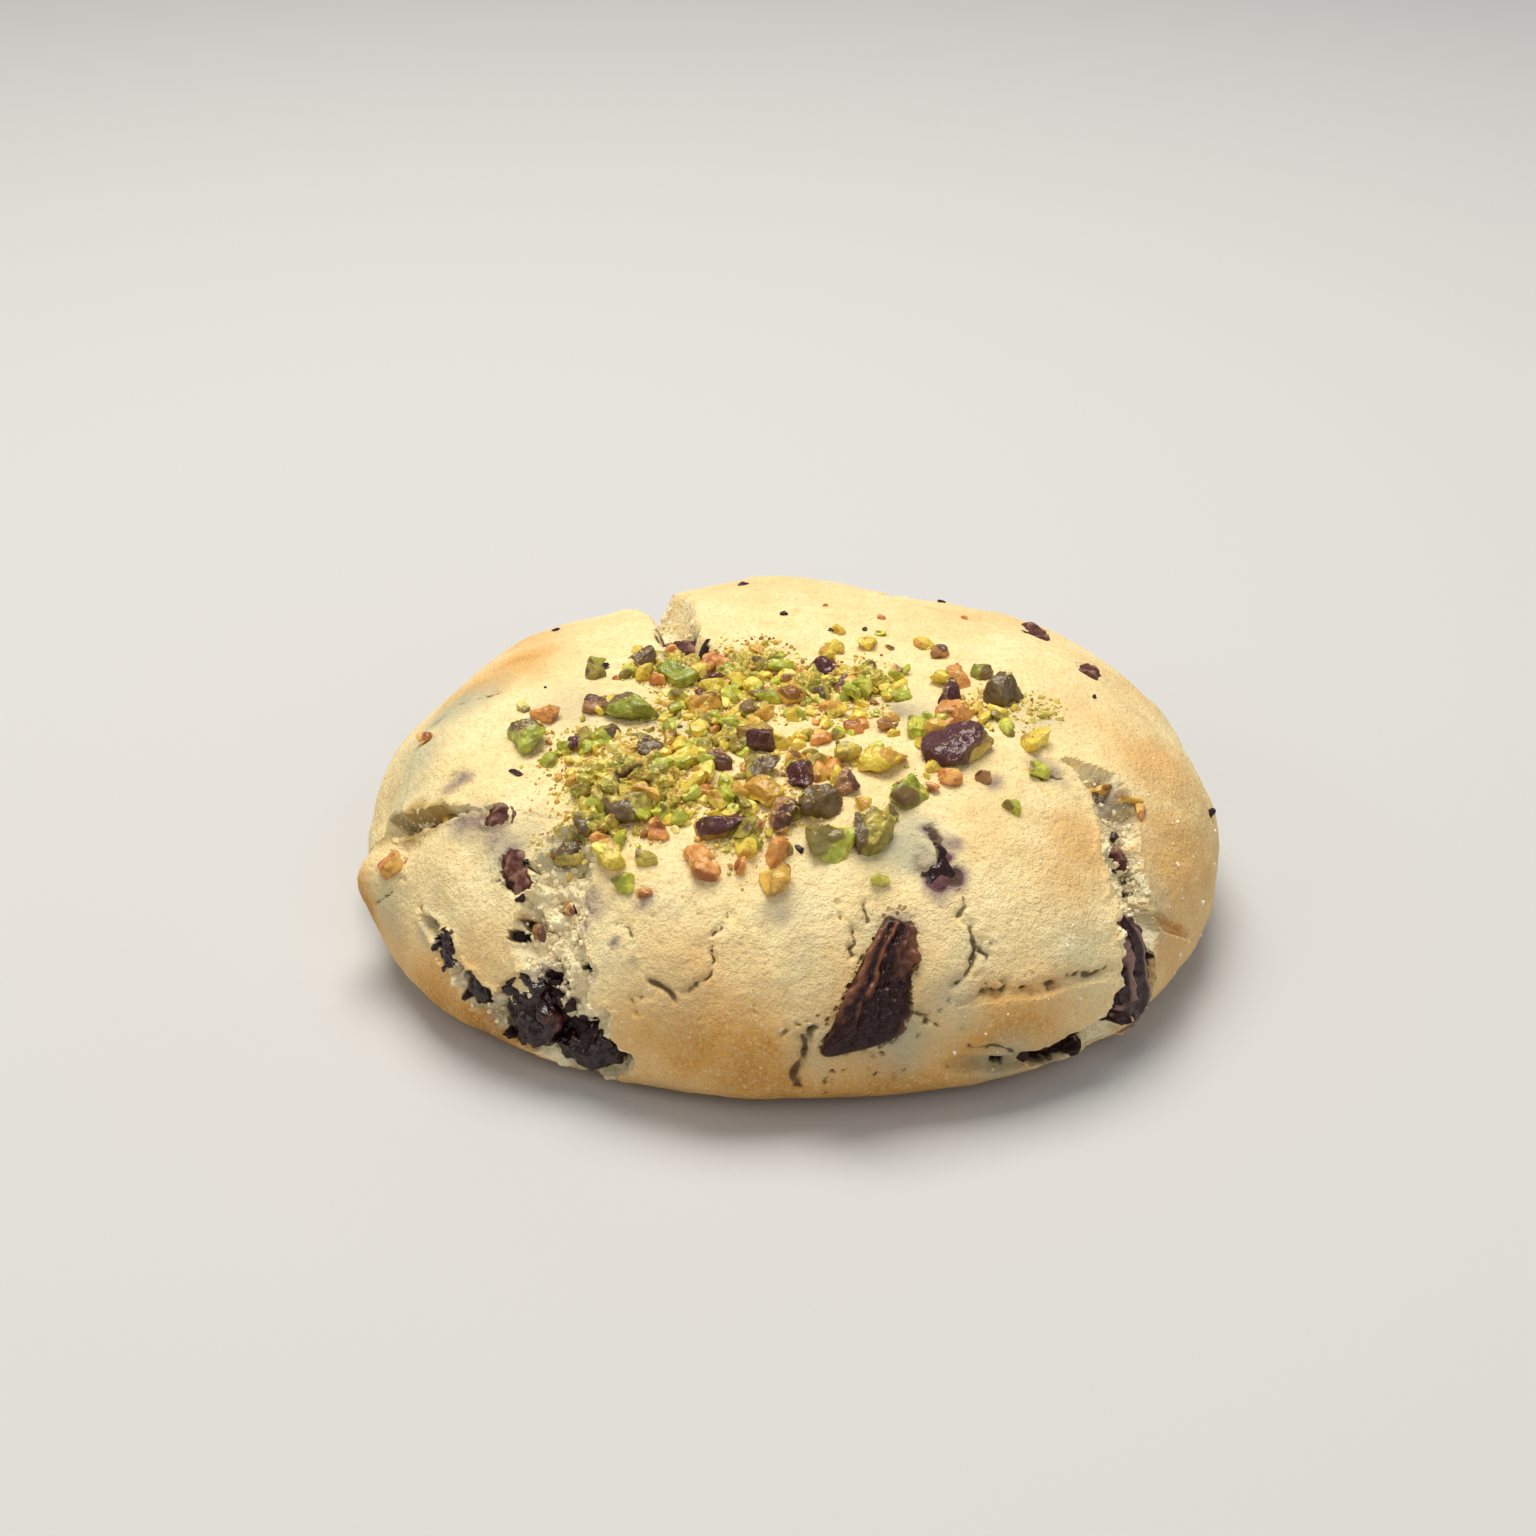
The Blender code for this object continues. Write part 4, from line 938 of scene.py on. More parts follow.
# Specks of chocolate on the crust and in the crumb
SPECKS = (
    (-21.9, 3.7, 2.4, 1.4, 0.8, 170), (-30.7, -18.5, 2.2, 0.9, 0.6, 30),
    (-28.2, -0.7, 0.5, 0.4, 0.3, 0), (-0.7, 19, 1.0, 0.8, 0.5, 0), (5.3, 13.7, 1.2, 0.6, 0.4, 10),
    (9.3, 13.8, 0.9, 0.6, 0.4, 120), (35.4, 0.3, 1.2, 0.6, 0.3, 160),
    (0.6, -36.2, 1.2, 0.8, 0.5, 150), (37.2, -24.5, 1.5, 1.1, 1.0, 20),
    (31.7, -54.9, 2.4, 1.6, 1.2, 80), (35, -53, 1.4, 1.0, 0.9, 0), (52.5, -8.5, 1.4, 1.0, 1.0, 0),
    (-28, -50, 1.8, 1.2, 1.0, 70), (-30.5, -36.5, 1.4, 1.0, 0.9, 20), (-6, 33, 1.6, 1.0, 0.6, 60),
    (20, 28, 1.2, 0.8, 0.5, 20), (-30, 22, 1.4, 0.9, 0.5, 100), (40, 30, 1.8, 1.1, 0.6, 30),
    (-40, 40, 1.5, 1.0, 0.6, 70), (14, 50, 1.3, 0.9, 0.6, 10),
)


class Heap:
    """Many small meshes gathered into one, with marks for each point: skin, tone, dust, painted
    shade.
    """

    def __init__(self):
        self.points, self.faces, self.marks = [], [], []
        self.count = 0

    def add(self, points, faces, skin, tone, dusty, edges):
        self.points.append(points)
        self.faces.append(faces + self.count)
        self.marks.append(np.stack([skin, tone, dusty, edges]))
        self.count += len(points)

    def mesh(self, name):
        data = bpy.data.meshes.new(name)
        data.from_pydata(np.concatenate(self.points), [], np.concatenate(self.faces).tolist())
        labels = ("skin", "tone", "sprinkled", "edges")
        for label, values in zip(labels, np.concatenate(self.marks, axis=1)):
            mark(data, label, values)
        data.set_sharp_from_angle(angle=CRISP)
        return data


def plain_ball(level):
    """A unit ball of triangles as its points and faces."""
    mesh = ball(level)
    points = points_of(mesh)
    faces = np.array([[vertex.index for vertex in face.verts] for face in mesh.faces])
    mesh.free()
    return points, faces


FINE, MIDDLING, COARSE = 5, 4, 3  # fineness of the balls that the pieces are cut from
BALLS = {level: plain_ball(level) for level in (FINE, MIDDLING, COARSE)}
FLAT_SIDES = 9
HOLLOW = 0.16  # how deep one side is scooped out, as a share of the height
HOLLOW_EDGE = (0.5, 0.95)
SKIN_EDGE = 0.15
DUSTY = (0.1, 0.8)  # dust settles on a piece between these shares of its height
PIECE_TILT = 0.3  # radians at most
FLAT_REACH = (0.50, 0.95)  # of a flat side from the middle, in radii before it is drawn out
EDGE_SHARPNESS = 36
BALL_LEFT = 1.2  # radius of the ball that is left where no flat side cuts it
SHADED_EDGE = (0.02, 0.12)  # painted shade darkens an edge where two flat sides are closer than this
WRINKLES = ((2.0, 0.30), (0.9, 0.18), (0.45, 0.08))
CRISP = math.radians(24)  # faces that meet at more than this keep a crisp edge


def chopped_piece(row, level, draw, covered=0.2, raised=0.0):
    """One piece of nut: a ball cut flat on many sides, a little worn, partly under its skin."""
    x, y, length, breadth, height, turn = row[:6]
    unit, faces = BALLS[level]
    sides = draw.normal(size=(FLAT_SIDES, 3))
    sides /= np.linalg.norm(sides, axis=1, keepdims=True)
    reach = draw.uniform(*FLAT_REACH, FLAT_SIDES)
    facing = (unit @ sides.T).clip(0) / reach
    second, first = np.sort(facing, axis=1)[:, -2:].T
    # painted shade along the edges where flat sides meet
    edges = 1 - smoothstep(*SHADED_EDGE, (first - second) / first)
    tone = draw.uniform(size=FLAT_SIDES)[facing.argmax(1)]
    rounded = (facing**EDGE_SHARPNESS).sum(1) + BALL_LEFT**-EDGE_SHARPNESS
    local = unit * rounded[:, None] ** (-1 / EDGE_SHARPNESS)
    low, high = local.min(0), local.max(0)
    local = (local - (low + high) / 2) / ((high - low) / 2)
    size = local * np.array([length, breadth, height]) / 2
    seed = int(draw.integers(1000))
    wrinkles = [(*layer, seed + number) for number, layer in enumerate(WRINKLES)]
    size += unit * (unevenness(size, wrinkles) * min(1, length / 4))[:, None]
    hollow = draw.normal(size=3)
    hollow = smoothstep(*HOLLOW_EDGE, unit @ (hollow / np.linalg.norm(hollow)))
    size -= unit * (HOLLOW * height * hollow)[:, None]
    side = draw.normal(size=3)
    side[2] = abs(side[2])
    facing = unit @ (side / np.linalg.norm(side)) + 0.4 * grain_noise(size, 1.8, seed)
    bare = 1.1 - 2.2 * covered  # so that 0 leaves no skin, and 1 covers the whole piece
    point, normal = seat(x, y)
    turned = normal.to_track_quat("Z", "Y").to_matrix() @ piece_turn(turn)
    middle = np.array(point + normal * (height * (0.5 - KERNEL_SUNK) + raised))
    placed = size @ np.array(turned).T
    dusty = smoothstep(*DUSTY, placed[:, 2] / height) * draw.uniform(0, 1)
    skin = smoothstep(bare, bare + SKIN_EDGE, facing)
    return placed + middle, faces, skin, tone, dusty, edges


def meal_heap(row):
    """A crumbly heap of the finest bits, with painted shade in its crevices."""
    x, y, length, breadth, height, turn = row
    unit, faces = BALLS[FINE]
    size = unit * np.array([length, breadth, height]) / 2
    lumps = unevenness(size + x, MEAL_LUMPS)
    size += unit * lumps[:, None]
    point, normal = seat(x, y)
    turned = normal.to_track_quat("Z", "Y").to_matrix() @ piece_turn(turn)
    return size @ np.array(turned).T + np.array(point), faces, smoothstep(0.0, -0.7, lumps)


def piece_turn(turn):
    """A piece turned on the crust by some degrees, and tilted with it."""
    turned = Matrix.Rotation(math.radians(turn), 3, "Z")
    return turned @ Matrix.Rotation(PIECE_TILT * math.sin(turn), 3, "X")


def fragments(draw):
    """The bits that fill the gaps, heaped where the sprinkle fell thickest."""
    rows = []
    for x, y, radius, count, heaped in CLUSTERS:
        for _ in range(count):
            out, bearing = math.sqrt(draw.uniform()), draw.uniform(0, math.tau)
            place = (x + radius * out * math.cos(bearing), y + radius * out * math.sin(bearing))
            least, most = FRAGMENT_SIZE
            size = least + (most - least) * draw.uniform() ** MOSTLY_FINE
            breadth = size * draw.uniform(*FRAGMENT_BREADTH)
            height = size * draw.uniform(*FRAGMENT_HEIGHT)
            kind = FRAGMENT_KINDS[draw.integers(len(FRAGMENT_KINDS))]
            raised = heaped * draw.uniform() * (1 - out**2)
            if clear_of_chocolate(*place, 0):
                turn = draw.uniform(0, 180)
                rows.append((*place, size, breadth, height, turn, kind, raised))
    return rows


def pistachios():
    """All pieces of nut, in one heap for each kind, and the larger ones once more as a bed."""
    heaps, bed = {}, Heap()
    draw = np.random.default_rng(5)
    for row in KERNELS:
        piece = chopped_piece(row, FINE, draw, row[7])
        heaps.setdefault(row[6], Heap()).add(*piece)
        bed.add(*piece)
    for number, row in enumerate(chips(random.Random(CHIP_SEED))):
        kind = CHIP_KINDS[number % len(CHIP_KINDS)]
        heaps.setdefault(kind, Heap()).add(*chopped_piece(row, MIDDLING, draw))
    for row in BITS:
        heaps.setdefault(row[6], Heap()).add(*chopped_piece(row, MIDDLING, draw))
    for row in fragments(draw):
        heaps.setdefault(row[6], Heap()).add(*chopped_piece(row, COARSE, draw, 0.1, row[7]))
    return heaps, bed


# ---- finishes ----


def linear(hex_colour):
    """An sRGB hex colour as linear RGBA."""
    parts = np.array([int(hex_colour[at : at + 2], 16) / 255 for at in (1, 3, 5)])
    light = np.where(parts <= 0.04045, parts / 12.92, ((parts + 0.055) / 1.055) ** 2.4)
    return *light.tolist(), 1.0


def node(tree, kind, inputs=(), **settings):
    """Add a node: settings are its own values, inputs are values or sockets to link."""
    made = tree.nodes.new(kind)
    for name, value in settings.items():
        setattr(made, name, value)
    for name, value in dict(inputs).items():
        if isinstance(value, bpy.types.NodeSocket):
            tree.links.new(value, made.inputs[name])
        else:
            made.inputs[name].default_value = value
    return made


def masked(tree, place, source, low, high, most, within=None):
    """A mask that rises to `most` as a mark, or a noise of some mm, goes from low to high."""
    if isinstance(source, str):
        value = node(tree, "ShaderNodeAttribute", attribute_name=source).outputs["Fac"]
    else:
        noise = {"Vector": place, "Scale": 1 / (source * MM), "Detail": 3.0, "Roughness": 0.6}
        value = node(tree, "ShaderNodeTexNoise", noise).outputs["Fac"]
    risen = {"Value": value, "From Min": low, "From Max": high, "To Max": most}
    mask = node(tree, "ShaderNodeMapRange", risen).outputs["Result"]
    if within:
        held = node(tree, "ShaderNodeAttribute", attribute_name=within).outputs["Fac"]
        mask = node(tree, "ShaderNodeMath", {0: mask, 1: held}, operation="MULTIPLY").outputs[0]
    return mask


def painted(tree, place, shader, base, layers):
    """Lay colours over a base colour, each with the mask that its row describes."""
    colour = linear(base)
    for hex_colour, *mask in layers:
        mixed = {0: masked(tree, place, *mask), 6: colour, 7: linear(hex_colour)}
        colour = node(tree, "ShaderNodeMix", mixed, data_type="RGBA").outputs[2]
    tree.links.new(colour, shader.inputs["Base Color"])


def roughened(tree, place, shader, layers):
    """Give the shader fine relief: noise layers as the size and height of their bumps in mm."""
    relief = {}
    for size, height in layers:
        noise = {"Vector": place, "Scale": 1 / (size * MM), "Detail": 2.0}
        bumps = node(tree, "ShaderNodeTexNoise", noise).outputs["Fac"]
        relief = {**relief, "Height": bumps, "Distance": height * MM}
        relief = {"Normal": node(tree, "ShaderNodeBump", relief).outputs["Normal"]}
    tree.links.new(relief["Normal"], shader.inputs["Normal"])


SMEARED_MASK = ("smeared", 0.44, 0.52, 1.0)


def finish(name, roughness, shine, base, layers=(), bumps=()):
    """A material of its own: its colours, and its fine relief."""
    material = bpy.data.materials.new(name)
    material.use_nodes = True
    tree = material.node_tree
    shader = tree.nodes["Principled BSDF"]
    shader.inputs["Roughness"].default_value = roughness
    shader.inputs["Specular IOR Level"].default_value = shine
    shader.inputs["Base Color"].default_value = linear(base)
    if layers:
        place = node(tree, "ShaderNodeTexCoord").outputs["Object"]
        painted(tree, place, shader, base, layers)
    if bumps:
        roughened(tree, place, shader, bumps)
    return material, tree, shader


def baked_crust():
    """Soft-baked sugar dough: a dull, sandy crust, cream where it rose, golden where it browned."""
    layers = (
        ("#FCE9B4", 7.0, 0.45, 0.70, 1.0),
        # the golden layers: browning, and near the foot also painted shade
        ("#ECC687", "golden", 0.10, 0.55, 1.0),
        ("#DCA350", "golden", 0.50, 0.95, 1.0),
        ("#B4781F", "golden", 0.85, 1.35, 1.0),
        ("#7E4A1C", "golden", 1.50, 2.10, 1.0),
        ("#DDBF88", 0.45, 0.50, 0.68, 0.50),
        ("#C9A468", 0.32, 0.54, 0.68, 0.45),
        ("#DDB87A", 1.6, 0.50, 0.70, 0.4),
        ("#A8742E", 0.40, 0.54, 0.70, 0.50, "golden"),
        ("#F6DCA0", 0.30, 0.56, 0.70, 0.40, "golden"),
        ("#B9894F", 0.9, 0.69, 0.74, 0.45),
        ("#FFF3CE", 0.7, 0.60, 0.75, 0.5),
        ("#F6E7BE", "crumb", 0.05, 0.90, 1.0),
        ("#D6C598", 2.4, 0.45, 0.65, 0.75, "crumb"),
        # painted shade of tiny pores in the crumb
        ("#A08E5C", 0.5, 0.60, 0.72, 0.50, "crumb"),
        ("#A98A48", "nutty", 0.35, 0.90, 0.90),
        ("#B7B394", "greyed", 0.15, 1.00, 0.85),
        ("#86706C", "mauve", 0.15, 0.90, 0.90),
        ("#5E343C", "mauve", 0.92, 1.04, 0.9),
        # painted shade in pits, creases and deep holes
        ("#55462A", "hole", 0.20, 0.80, 0.85),
        ("#22120C", "hole", 1.10, 1.60, 0.95),
        # painted shade down the cracks
        ("#4A3822", "crack", 0.66, 0.80, 0.85),
        ("#2A1412", *SMEARED_MASK),
    )
    bumps = ((1.4, 0.22), (0.55, 0.24), (0.22, 0.14))
    material, tree, shader = finish("baked_crust", 0.72, 0.3, "#F6DFA4", layers, bumps)
    # smeared chocolate is shinier than the crust
    wet = {"Value": masked(tree, None, *SMEARED_MASK), "To Min": 0.72, "To Max": 0.30}
    wet = node(tree, "ShaderNodeMapRange", wet).outputs["Result"]
    tree.links.new(wet, shader.inputs["Roughness"])
    return material


def pale_crumb():
    """The open crumb inside the crust: pale, dull and rough."""
    layers = (("#D8C89A", 0.6, 0.45, 0.70, 0.8), ("#DEC08C", 2.5, 0.55, 0.70, 0.6))
    return finish("pale_crumb", 0.8, 0.25, "#F8EAC4", layers, ((0.5, 0.15), (0.2, 0.06)))[0]


def dark_chocolate(name, body, ridges, roughness, shine):
    """Dark chocolate, semi-gloss where it broke and shiny where it melted and set again."""
    # the ridges colour: paler ridges and lumps, partly painted sheen and glints
    layers = (("#1E0A0B", 1.2, 0.48, 0.66, 0.7), (ridges, "ridge", 0.15, 0.80, 0.9))
    return finish(name, roughness, shine, body, layers, ((0.9, 0.12), (0.35, 0.06)))[0]


def nut_flesh(name, cut, shade, skin, roughness):
    """Chopped pistachio: waxy, slightly see-through flesh, papery skin, fine crumbs that cling."""
    layers = (
        (shade, 1.8, 0.42, 0.60, 0.8),
        (shade, "tone", 0.20, 1.00, 0.6),
        ("#EFD868", "tone", 0.16, 0.08, 0.4),
        ("#8A5A26", 1.1, 0.60, 0.70, 0.5),
        (skin, "skin", 0.0, 1.0, 1.0),
        # painted shade along the edges of each piece
        ("#6A4C20", "edges", 0.2, 1.0, 0.4),
        ("#DCC080", 0.5, 0.58, 0.66, 0.7, "sprinkled"),
    )
    material, _, shader = finish(name, roughness, 0.5, cut, layers, ((0.9, 0.12), (0.35, 0.10)))
    shader.inputs["Subsurface Weight"].default_value = 0.3
    shader.inputs["Subsurface Radius"].default_value = (1.0, 0.8, 0.3)
    shader.inputs["Subsurface Scale"].default_value = 0.8 * MM
    return material


def nut_meal():
    """Pistachio chopped so fine that it sticks together in rough, crumbly heaps."""
    layers = (
        ("#9A9A34", 2.4, 0.45, 0.60, 0.9),
        ("#F4E28A", 0.8, 0.50, 0.62, 0.9),
        ("#B07A34", 1.3, 0.56, 0.66, 0.8),
        # painted shade in the crevices of the heap
        ("#5A341A", "edges", 0.1, 0.9, 0.95),
    )
    return finish("nut_meal", 0.5, 0.5, "#D8BC4A", layers, ((0.5, 0.20), (0.25, 0.10)))[0]


def nut_dust():
    """Fine dust of chopped pistachio: yellow-green grains among toasted golden ones."""
    layers = (
        ("#BDAE46", "tone", 0.25, 0.30, 1.0),
        ("#D0A047", "tone", 0.45, 0.50, 1.0),
        ("#EBDB86", "tone", 0.65, 0.70, 1.0),
        ("#97682F", "tone", 0.88, 0.92, 1.0),
    )
    return finish("nut_dust", 0.55, 0.5, "#E4CF6A", layers)[0]


def sugar():
    """Grains of white sugar: clear crystals that catch the light."""
    return finish("sugar", 0.12, 0.5, "#FFF4DC")[0]


# ---- what is strewn ----

GRAIN_INPUTS = (
    ("Seed", "NodeSocketInt"),
    ("Mark", "NodeSocketString"),
    ("Grains per square metre", "NodeSocketFloat"),
    ("Least radius", "NodeSocketFloat"),
    ("Largest radius", "NodeSocketFloat"),
    ("Unevenness", "NodeSocketFloat"),
)
# What is strewn: its bed, name, finish, slot, fineness of a grain, seed, the mark on the bed
# that says where, grains to the square metre, least and largest radius and unevenness in mm
STREWN = (
    ("dough", "pistachio_dust", "dust", "pistachio", 1, 4, "sprinkled", 9.0e6, 0.08, 0.36, 0.35),
    ("nuts", "clinging_dust", "dust", "pistachio", 1, 5, "sprinkled", 3.0e6, 0.08, 0.32, 0.35),
    ("dough", "pistachio_crumbs", "dust", "pistachio", 1, 9, "sprinkled", 0.9e6, 0.2, 0.8, 0.8),
    ("dough", "loose_crumbs", "crumb", "baked_dough", 1, 8, "crumbled", 3.5e6, 0.10, 0.5, 0.5),
    ("dough", "sugar_grains", "sugar", "baked_dough", 0, 15, "sugared", 0.09e6, 0.12, 0.26, 0.0),
)
MOSTLY_SMALL = 2.5  # the power that makes large grains rare
LEAST_SHAPE, MOST_SHAPE = (0.5, 0.5, 0.5), (1.5, 1.3, 1.1)
GRAIN_WEAR = 0.35  # the size in mm of the noise that wears the grains
CRYSTAL = (1.5, 1.5, 1.5)  # a square grain's sides, in its radii
TONE_SEED = 77


def strewing(name, material, fineness):
    """A tree that strews grains over a bed, thick where a mark on the bed says."""
    tree = bpy.data.node_groups.new(name, "GeometryNodeTree")
    for label, kind in (("Bed", "NodeSocketGeometry"), *GRAIN_INPUTS):
        tree.interface.new_socket(label, in_out="INPUT", socket_type=kind)
    tree.interface.new_socket("Grains", in_out="OUTPUT", socket_type="NodeSocketGeometry")
    given = node(tree, "NodeGroupInput").outputs
    seed = given["Seed"]

    # where the grains lie
    thick = {"Name": given["Mark"]}
    thick = node(tree, "GeometryNodeInputNamedAttribute", thick, data_type="FLOAT")
    dense = {0: thick.outputs["Attribute"], 1: given["Grains per square metre"]}
    dense = node(tree, "ShaderNodeMath", dense, operation="MULTIPLY").outputs[0]
    places = {"Mesh": given["Bed"], "Density": dense, "Seed": seed}
    places = node(tree, "GeometryNodeDistributePointsOnFaces", places).outputs["Points"]

    # each grain's shape, size and turn
    if fineness:
        grain = node(tree, "GeometryNodeMeshIcoSphere", {"Radius": 1.0, "Subdivisions": fineness})
    else:
        grain = node(tree, "GeometryNodeMeshCube", {"Size": CRYSTAL})
    chance = node(tree, "FunctionNodeRandomValue", {"Seed": seed}, data_type="FLOAT").outputs[1]
    small = {0: chance, 1: MOSTLY_SMALL}
    small = node(tree, "ShaderNodeMath", small, operation="POWER").outputs[0]
    radius = {"Value": small, "To Min": given["Least radius"], "To Max": given["Largest radius"]}
    radius = node(tree, "ShaderNodeMapRange", radius).outputs[0]
    uneven = {0: LEAST_SHAPE, 1: MOST_SHAPE, "Seed": seed}
    uneven = node(tree, "FunctionNodeRandomValue", uneven, data_type="FLOAT_VECTOR").outputs[0]
    size = {0: uneven, "Scale": radius}
    size = node(tree, "ShaderNodeVectorMath", size, operation="SCALE").outputs[0]
    turn = {0: (0, 0, 0), 1: (math.tau, math.tau, math.tau), "Seed": seed}
    turn = node(tree, "FunctionNodeRandomValue", turn, data_type="FLOAT_VECTOR").outputs[0]
    grains = {"Points": places, "Instance": grain.outputs["Mesh"], "Rotation": turn, "Scale": size}
    grains = node(tree, "GeometryNodeInstanceOnPoints", grains).outputs[0]
    tone = node(tree, "FunctionNodeRandomValue", {"Seed": TONE_SEED}, data_type="FLOAT").outputs[1]
    toned = {"Geometry": grains, "Name": "tone", "Value": tone}
    on_grains = {"data_type": "FLOAT", "domain": "INSTANCE"}
    toned = node(tree, "GeometryNodeStoreNamedAttribute", toned, **on_grains).outputs[0]
    real = node(tree, "GeometryNodeRealizeInstances", {"Geometry": toned}).outputs[0]

    # worn out of round
    wear = {"Scale": 1 / (GRAIN_WEAR * MM), "Detail": 1.0}
    wear = {0: node(tree, "ShaderNodeTexNoise", wear).outputs["Color"], 1: (0.5, 0.5, 0.5)}
    wear = node(tree, "ShaderNodeVectorMath", wear, operation="SUBTRACT").outputs[0]
    push = {0: wear, "Scale": given["Unevenness"]}
    push = node(tree, "ShaderNodeVectorMath", push, operation="SCALE").outputs[0]
    worn = node(tree, "GeometryNodeSetPosition", {"Geometry": real, "Offset": push}).outputs[0]
    done = {"Geometry": worn, "Material": material}
    done = node(tree, "GeometryNodeSetMaterial", done).outputs[0]
    node(tree, "NodeGroupOutput", {"Grains": done})
    return tree


def strew(bed, name, material, slot, fineness, *values):
    """Strew grains over a finished piece, as one plain mesh."""
    tree = strewing(name, material, fineness)
    carrier = bpy.data.objects.new(name + "_bed", bed.data)
    bpy.context.scene.collection.objects.link(carrier)
    strewn = carrier.modifiers.new("Strew", "NODES")
    strewn.node_group = tree
    given = dict(zip([label for label, _ in GRAIN_INPUTS], values))
    for item in tree.interface.items_tree:
        if item.name in given:
            strewn[item.identifier] = given[item.name]
    data = plain_mesh(carrier)
    bpy.data.node_groups.remove(tree)
    data.transform(Matrix.Scale(1 / MM, 4))
    show(data, name, material, slot).data.shade_flat()


# ---- the whole ----

# Chocolate: the name of its finish, body, ridges and their painted sheen, roughness, shine
CHOCOLATES = {
    "broken": ("broken_chocolate", "#2C0E0C", "#8A5638", 0.30, 0.3),
    "melted": ("melted_chocolate", "#260C0B", "#62342E", 0.12, 0.5),
    "folded": ("folded_chocolate", "#34110F", "#8E6A5E", 0.14, 0.5),
    "dusty": ("dusty_chocolate", "#5E352B", "#93705E", 0.55, 0.2),
}
# Nut flesh: the name of its finish, cut face, shade, skin, roughness
NUTS = {
    "green": ("green_pistachio", "#BEC046", "#7A842C", "#7A6238", 0.30),
    "lime": ("lime_pistachio", "#D2D04A", "#989F2E", "#8A7A3A", 0.30),
    "yellow": ("yellow_pistachio", "#F6DE5E", "#D4B63C", "#C8983C", 0.30),
    "olive": ("olive_pistachio", "#C2B04C", "#847430", "#66502E", 0.30),
    "tan": ("tan_pistachio", "#EEC25C", "#C09038", "#8A5A26", 0.30),
    "orange": ("toasted_pistachio", "#EEAE60", "#C47C3C", "#A05E2C", 0.30),
    "brown": ("browned_pistachio", "#C48E54", "#825832", "#664030", 0.30),
    "dark": ("skinned_pistachio", "#C09E44", "#86602C", "#54282A", 0.20),
}
SPECK_SEED = 23


def build_cookie():
    """All pieces of the cookie; the imported parts that they stand for are hidden."""
    lump = show(dough(), "dough", baked_crust(), "baked_dough", "cookie")

    chocolates = {kind: dark_chocolate(*row) for kind, row in CHOCOLATES.items()}
    for name, row in CHUNKS.items():
        data = chunk_mesh(name, row, 6 if row[2] > LARGE_CHUNK else 5)
        show(data, name + "_chunk", chocolates[SURFACES[name][1]], "dark_chocolate", name)

    flesh = {kind: nut_flesh(*row) for kind, row in NUTS.items()}
    heaps, dusted = pistachios()
    for kind, heap in heaps.items():
        show(heap.mesh(kind), "pistachio_" + kind, flesh[kind], "pistachio", "cookie")

    meal = Heap()
    for row in MEAL:
        points, faces, hole = meal_heap(row)
        blank = np.zeros(len(points))
        meal.add(points, faces, blank, blank, blank, hole)
    show(meal.mesh("meal"), "pistachio_meal", nut_meal(), "pistachio")

    draw = np.random.default_rng(SPECK_SEED)
    specks = Heap()
    for row in SPECKS:
        specks.add(*chopped_piece(row, COARSE, draw))
    show(specks.mesh("specks"), "chocolate_specks", chocolates["broken"], "dark_chocolate")

    bed = bpy.data.objects.new("bed", dusted.mesh("bed"))
    bed.data.transform(Matrix.Scale(MM, 4))
    beds = {"dough": lump, "nuts": bed}
    grains = {"dust": nut_dust(), "crumb": pale_crumb(), "sugar": sugar()}
    for where, name, kind, slot, fineness, seed, label, density, *lengths in STREWN:
        lengths = [length * MM for length in lengths]
        strew(beds[where], name, grains[kind], slot, fineness, seed, label, density, *lengths)
    bpy.data.objects.remove(bed)


# ---- floor, light and camera ----

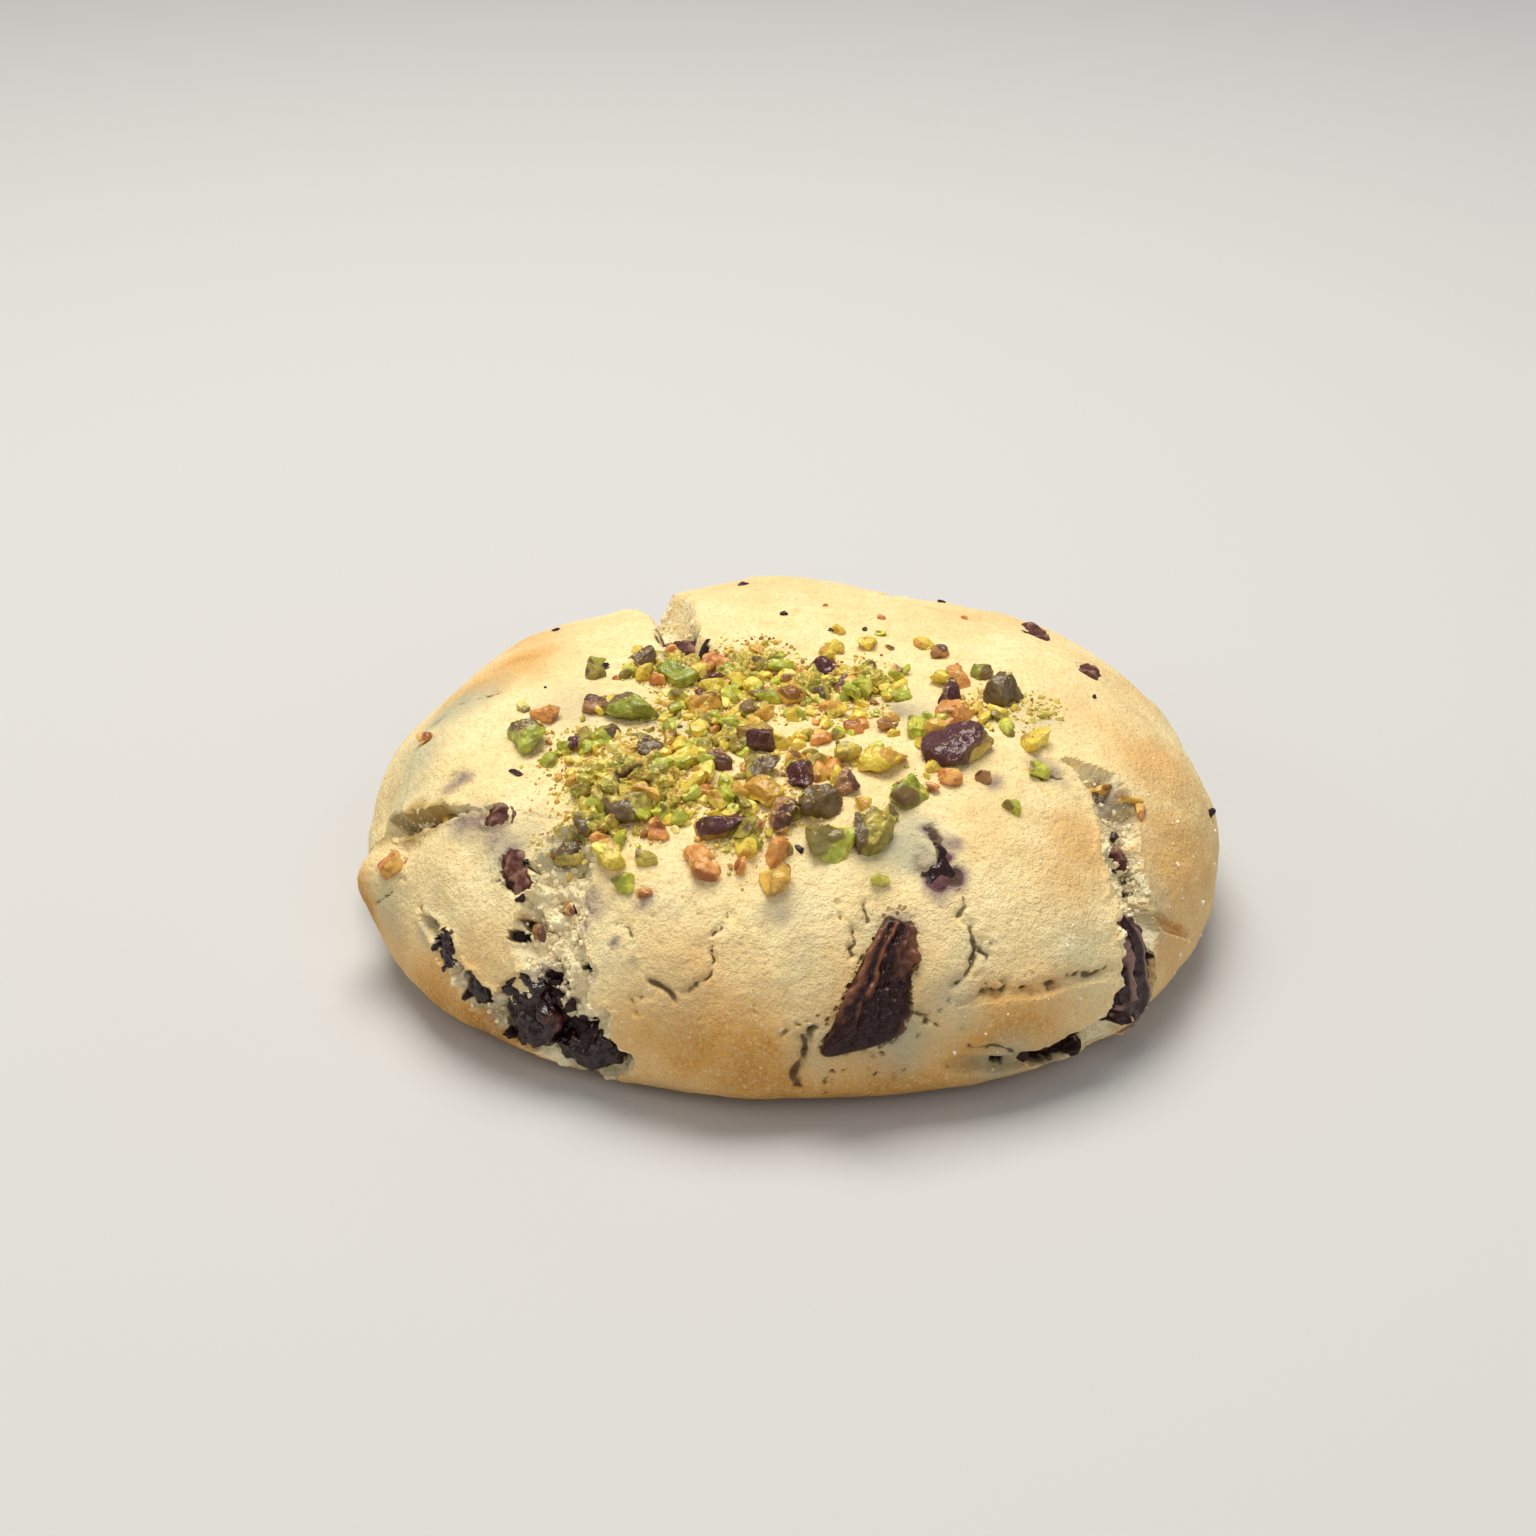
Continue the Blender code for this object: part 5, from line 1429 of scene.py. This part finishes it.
CAMERA_PLACE = (-2.4, -249.6, 151.8)  # mm
CAMERA_TILT = 28.5  # degrees down
LENS, SENSOR = 57.4, 36  # mm
FLOOR_COLOUR, FLOOR_HALF = "#C6C5C5", 1.5  # half its side in metres
SKY_COLOUR, SKY_STRENGTH = "#F2F5FA", 0.33
# Soft square lamps: name, place and aim in metres, size, power, colour
LAMPS = (
    ("overhead", (-0.06, 0.20, 0.75), (0, 0, 0), 0.5, 6.55, "#FFFBF0"),
    ("left_fill", (-0.55, -0.25, 0.45), (0, 0, 0.02), 0.4, 0.7, "#FFF6E8"),
    ("front_fill", (0.30, -0.65, 0.50), (0, 0, 0.02), 0.5, 1.1, "#FFFFFF"),
)


def floor():
    mesh = bmesh.new()
    bmesh.ops.create_grid(mesh, x_segments=1, y_segments=1, size=FLOOR_HALF)
    data = from_bmesh(mesh, "floor")
    data.materials.append(finish("pale_floor", 0.9, 0.5, FLOOR_COLOUR)[0])
    slab = bpy.data.objects.new("floor", data)
    bpy.context.scene.collection.objects.link(slab)


def lamp(name, place, aim, size, power, colour):
    light = bpy.data.lights.new(name, "AREA")
    light.size = size
    light.energy = power
    light.color = linear(colour)[:3]
    lit = bpy.data.objects.new(name, light)
    lit.location = place
    lit.rotation_euler = (Vector(aim) - Vector(place)).to_track_quat("-Z", "Y").to_euler()
    bpy.context.scene.collection.objects.link(lit)


def studio():
    world = bpy.data.worlds.new("studio")
    world.use_nodes = True
    sky = world.node_tree.nodes["Background"]
    sky.inputs["Color"].default_value = linear(SKY_COLOUR)
    sky.inputs["Strength"].default_value = SKY_STRENGTH
    bpy.context.scene.world = world
    for row in LAMPS:
        lamp(*row)


def camera():
    seen = bpy.data.cameras.new("camera")
    seen.lens = LENS
    seen.sensor_width = SENSOR
    held = bpy.data.objects.new("camera", seen)
    held.location = Vector(CAMERA_PLACE) * MM
    held.rotation_euler = (math.radians(90 - CAMERA_TILT), 0, 0)
    seen.clip_start, seen.clip_end = 0.01, 10
    bpy.context.scene.collection.objects.link(held)
    bpy.context.scene.camera = held


build_cookie()
floor()
studio()
camera()
bpy.context.scene.view_settings.view_transform = "Standard"
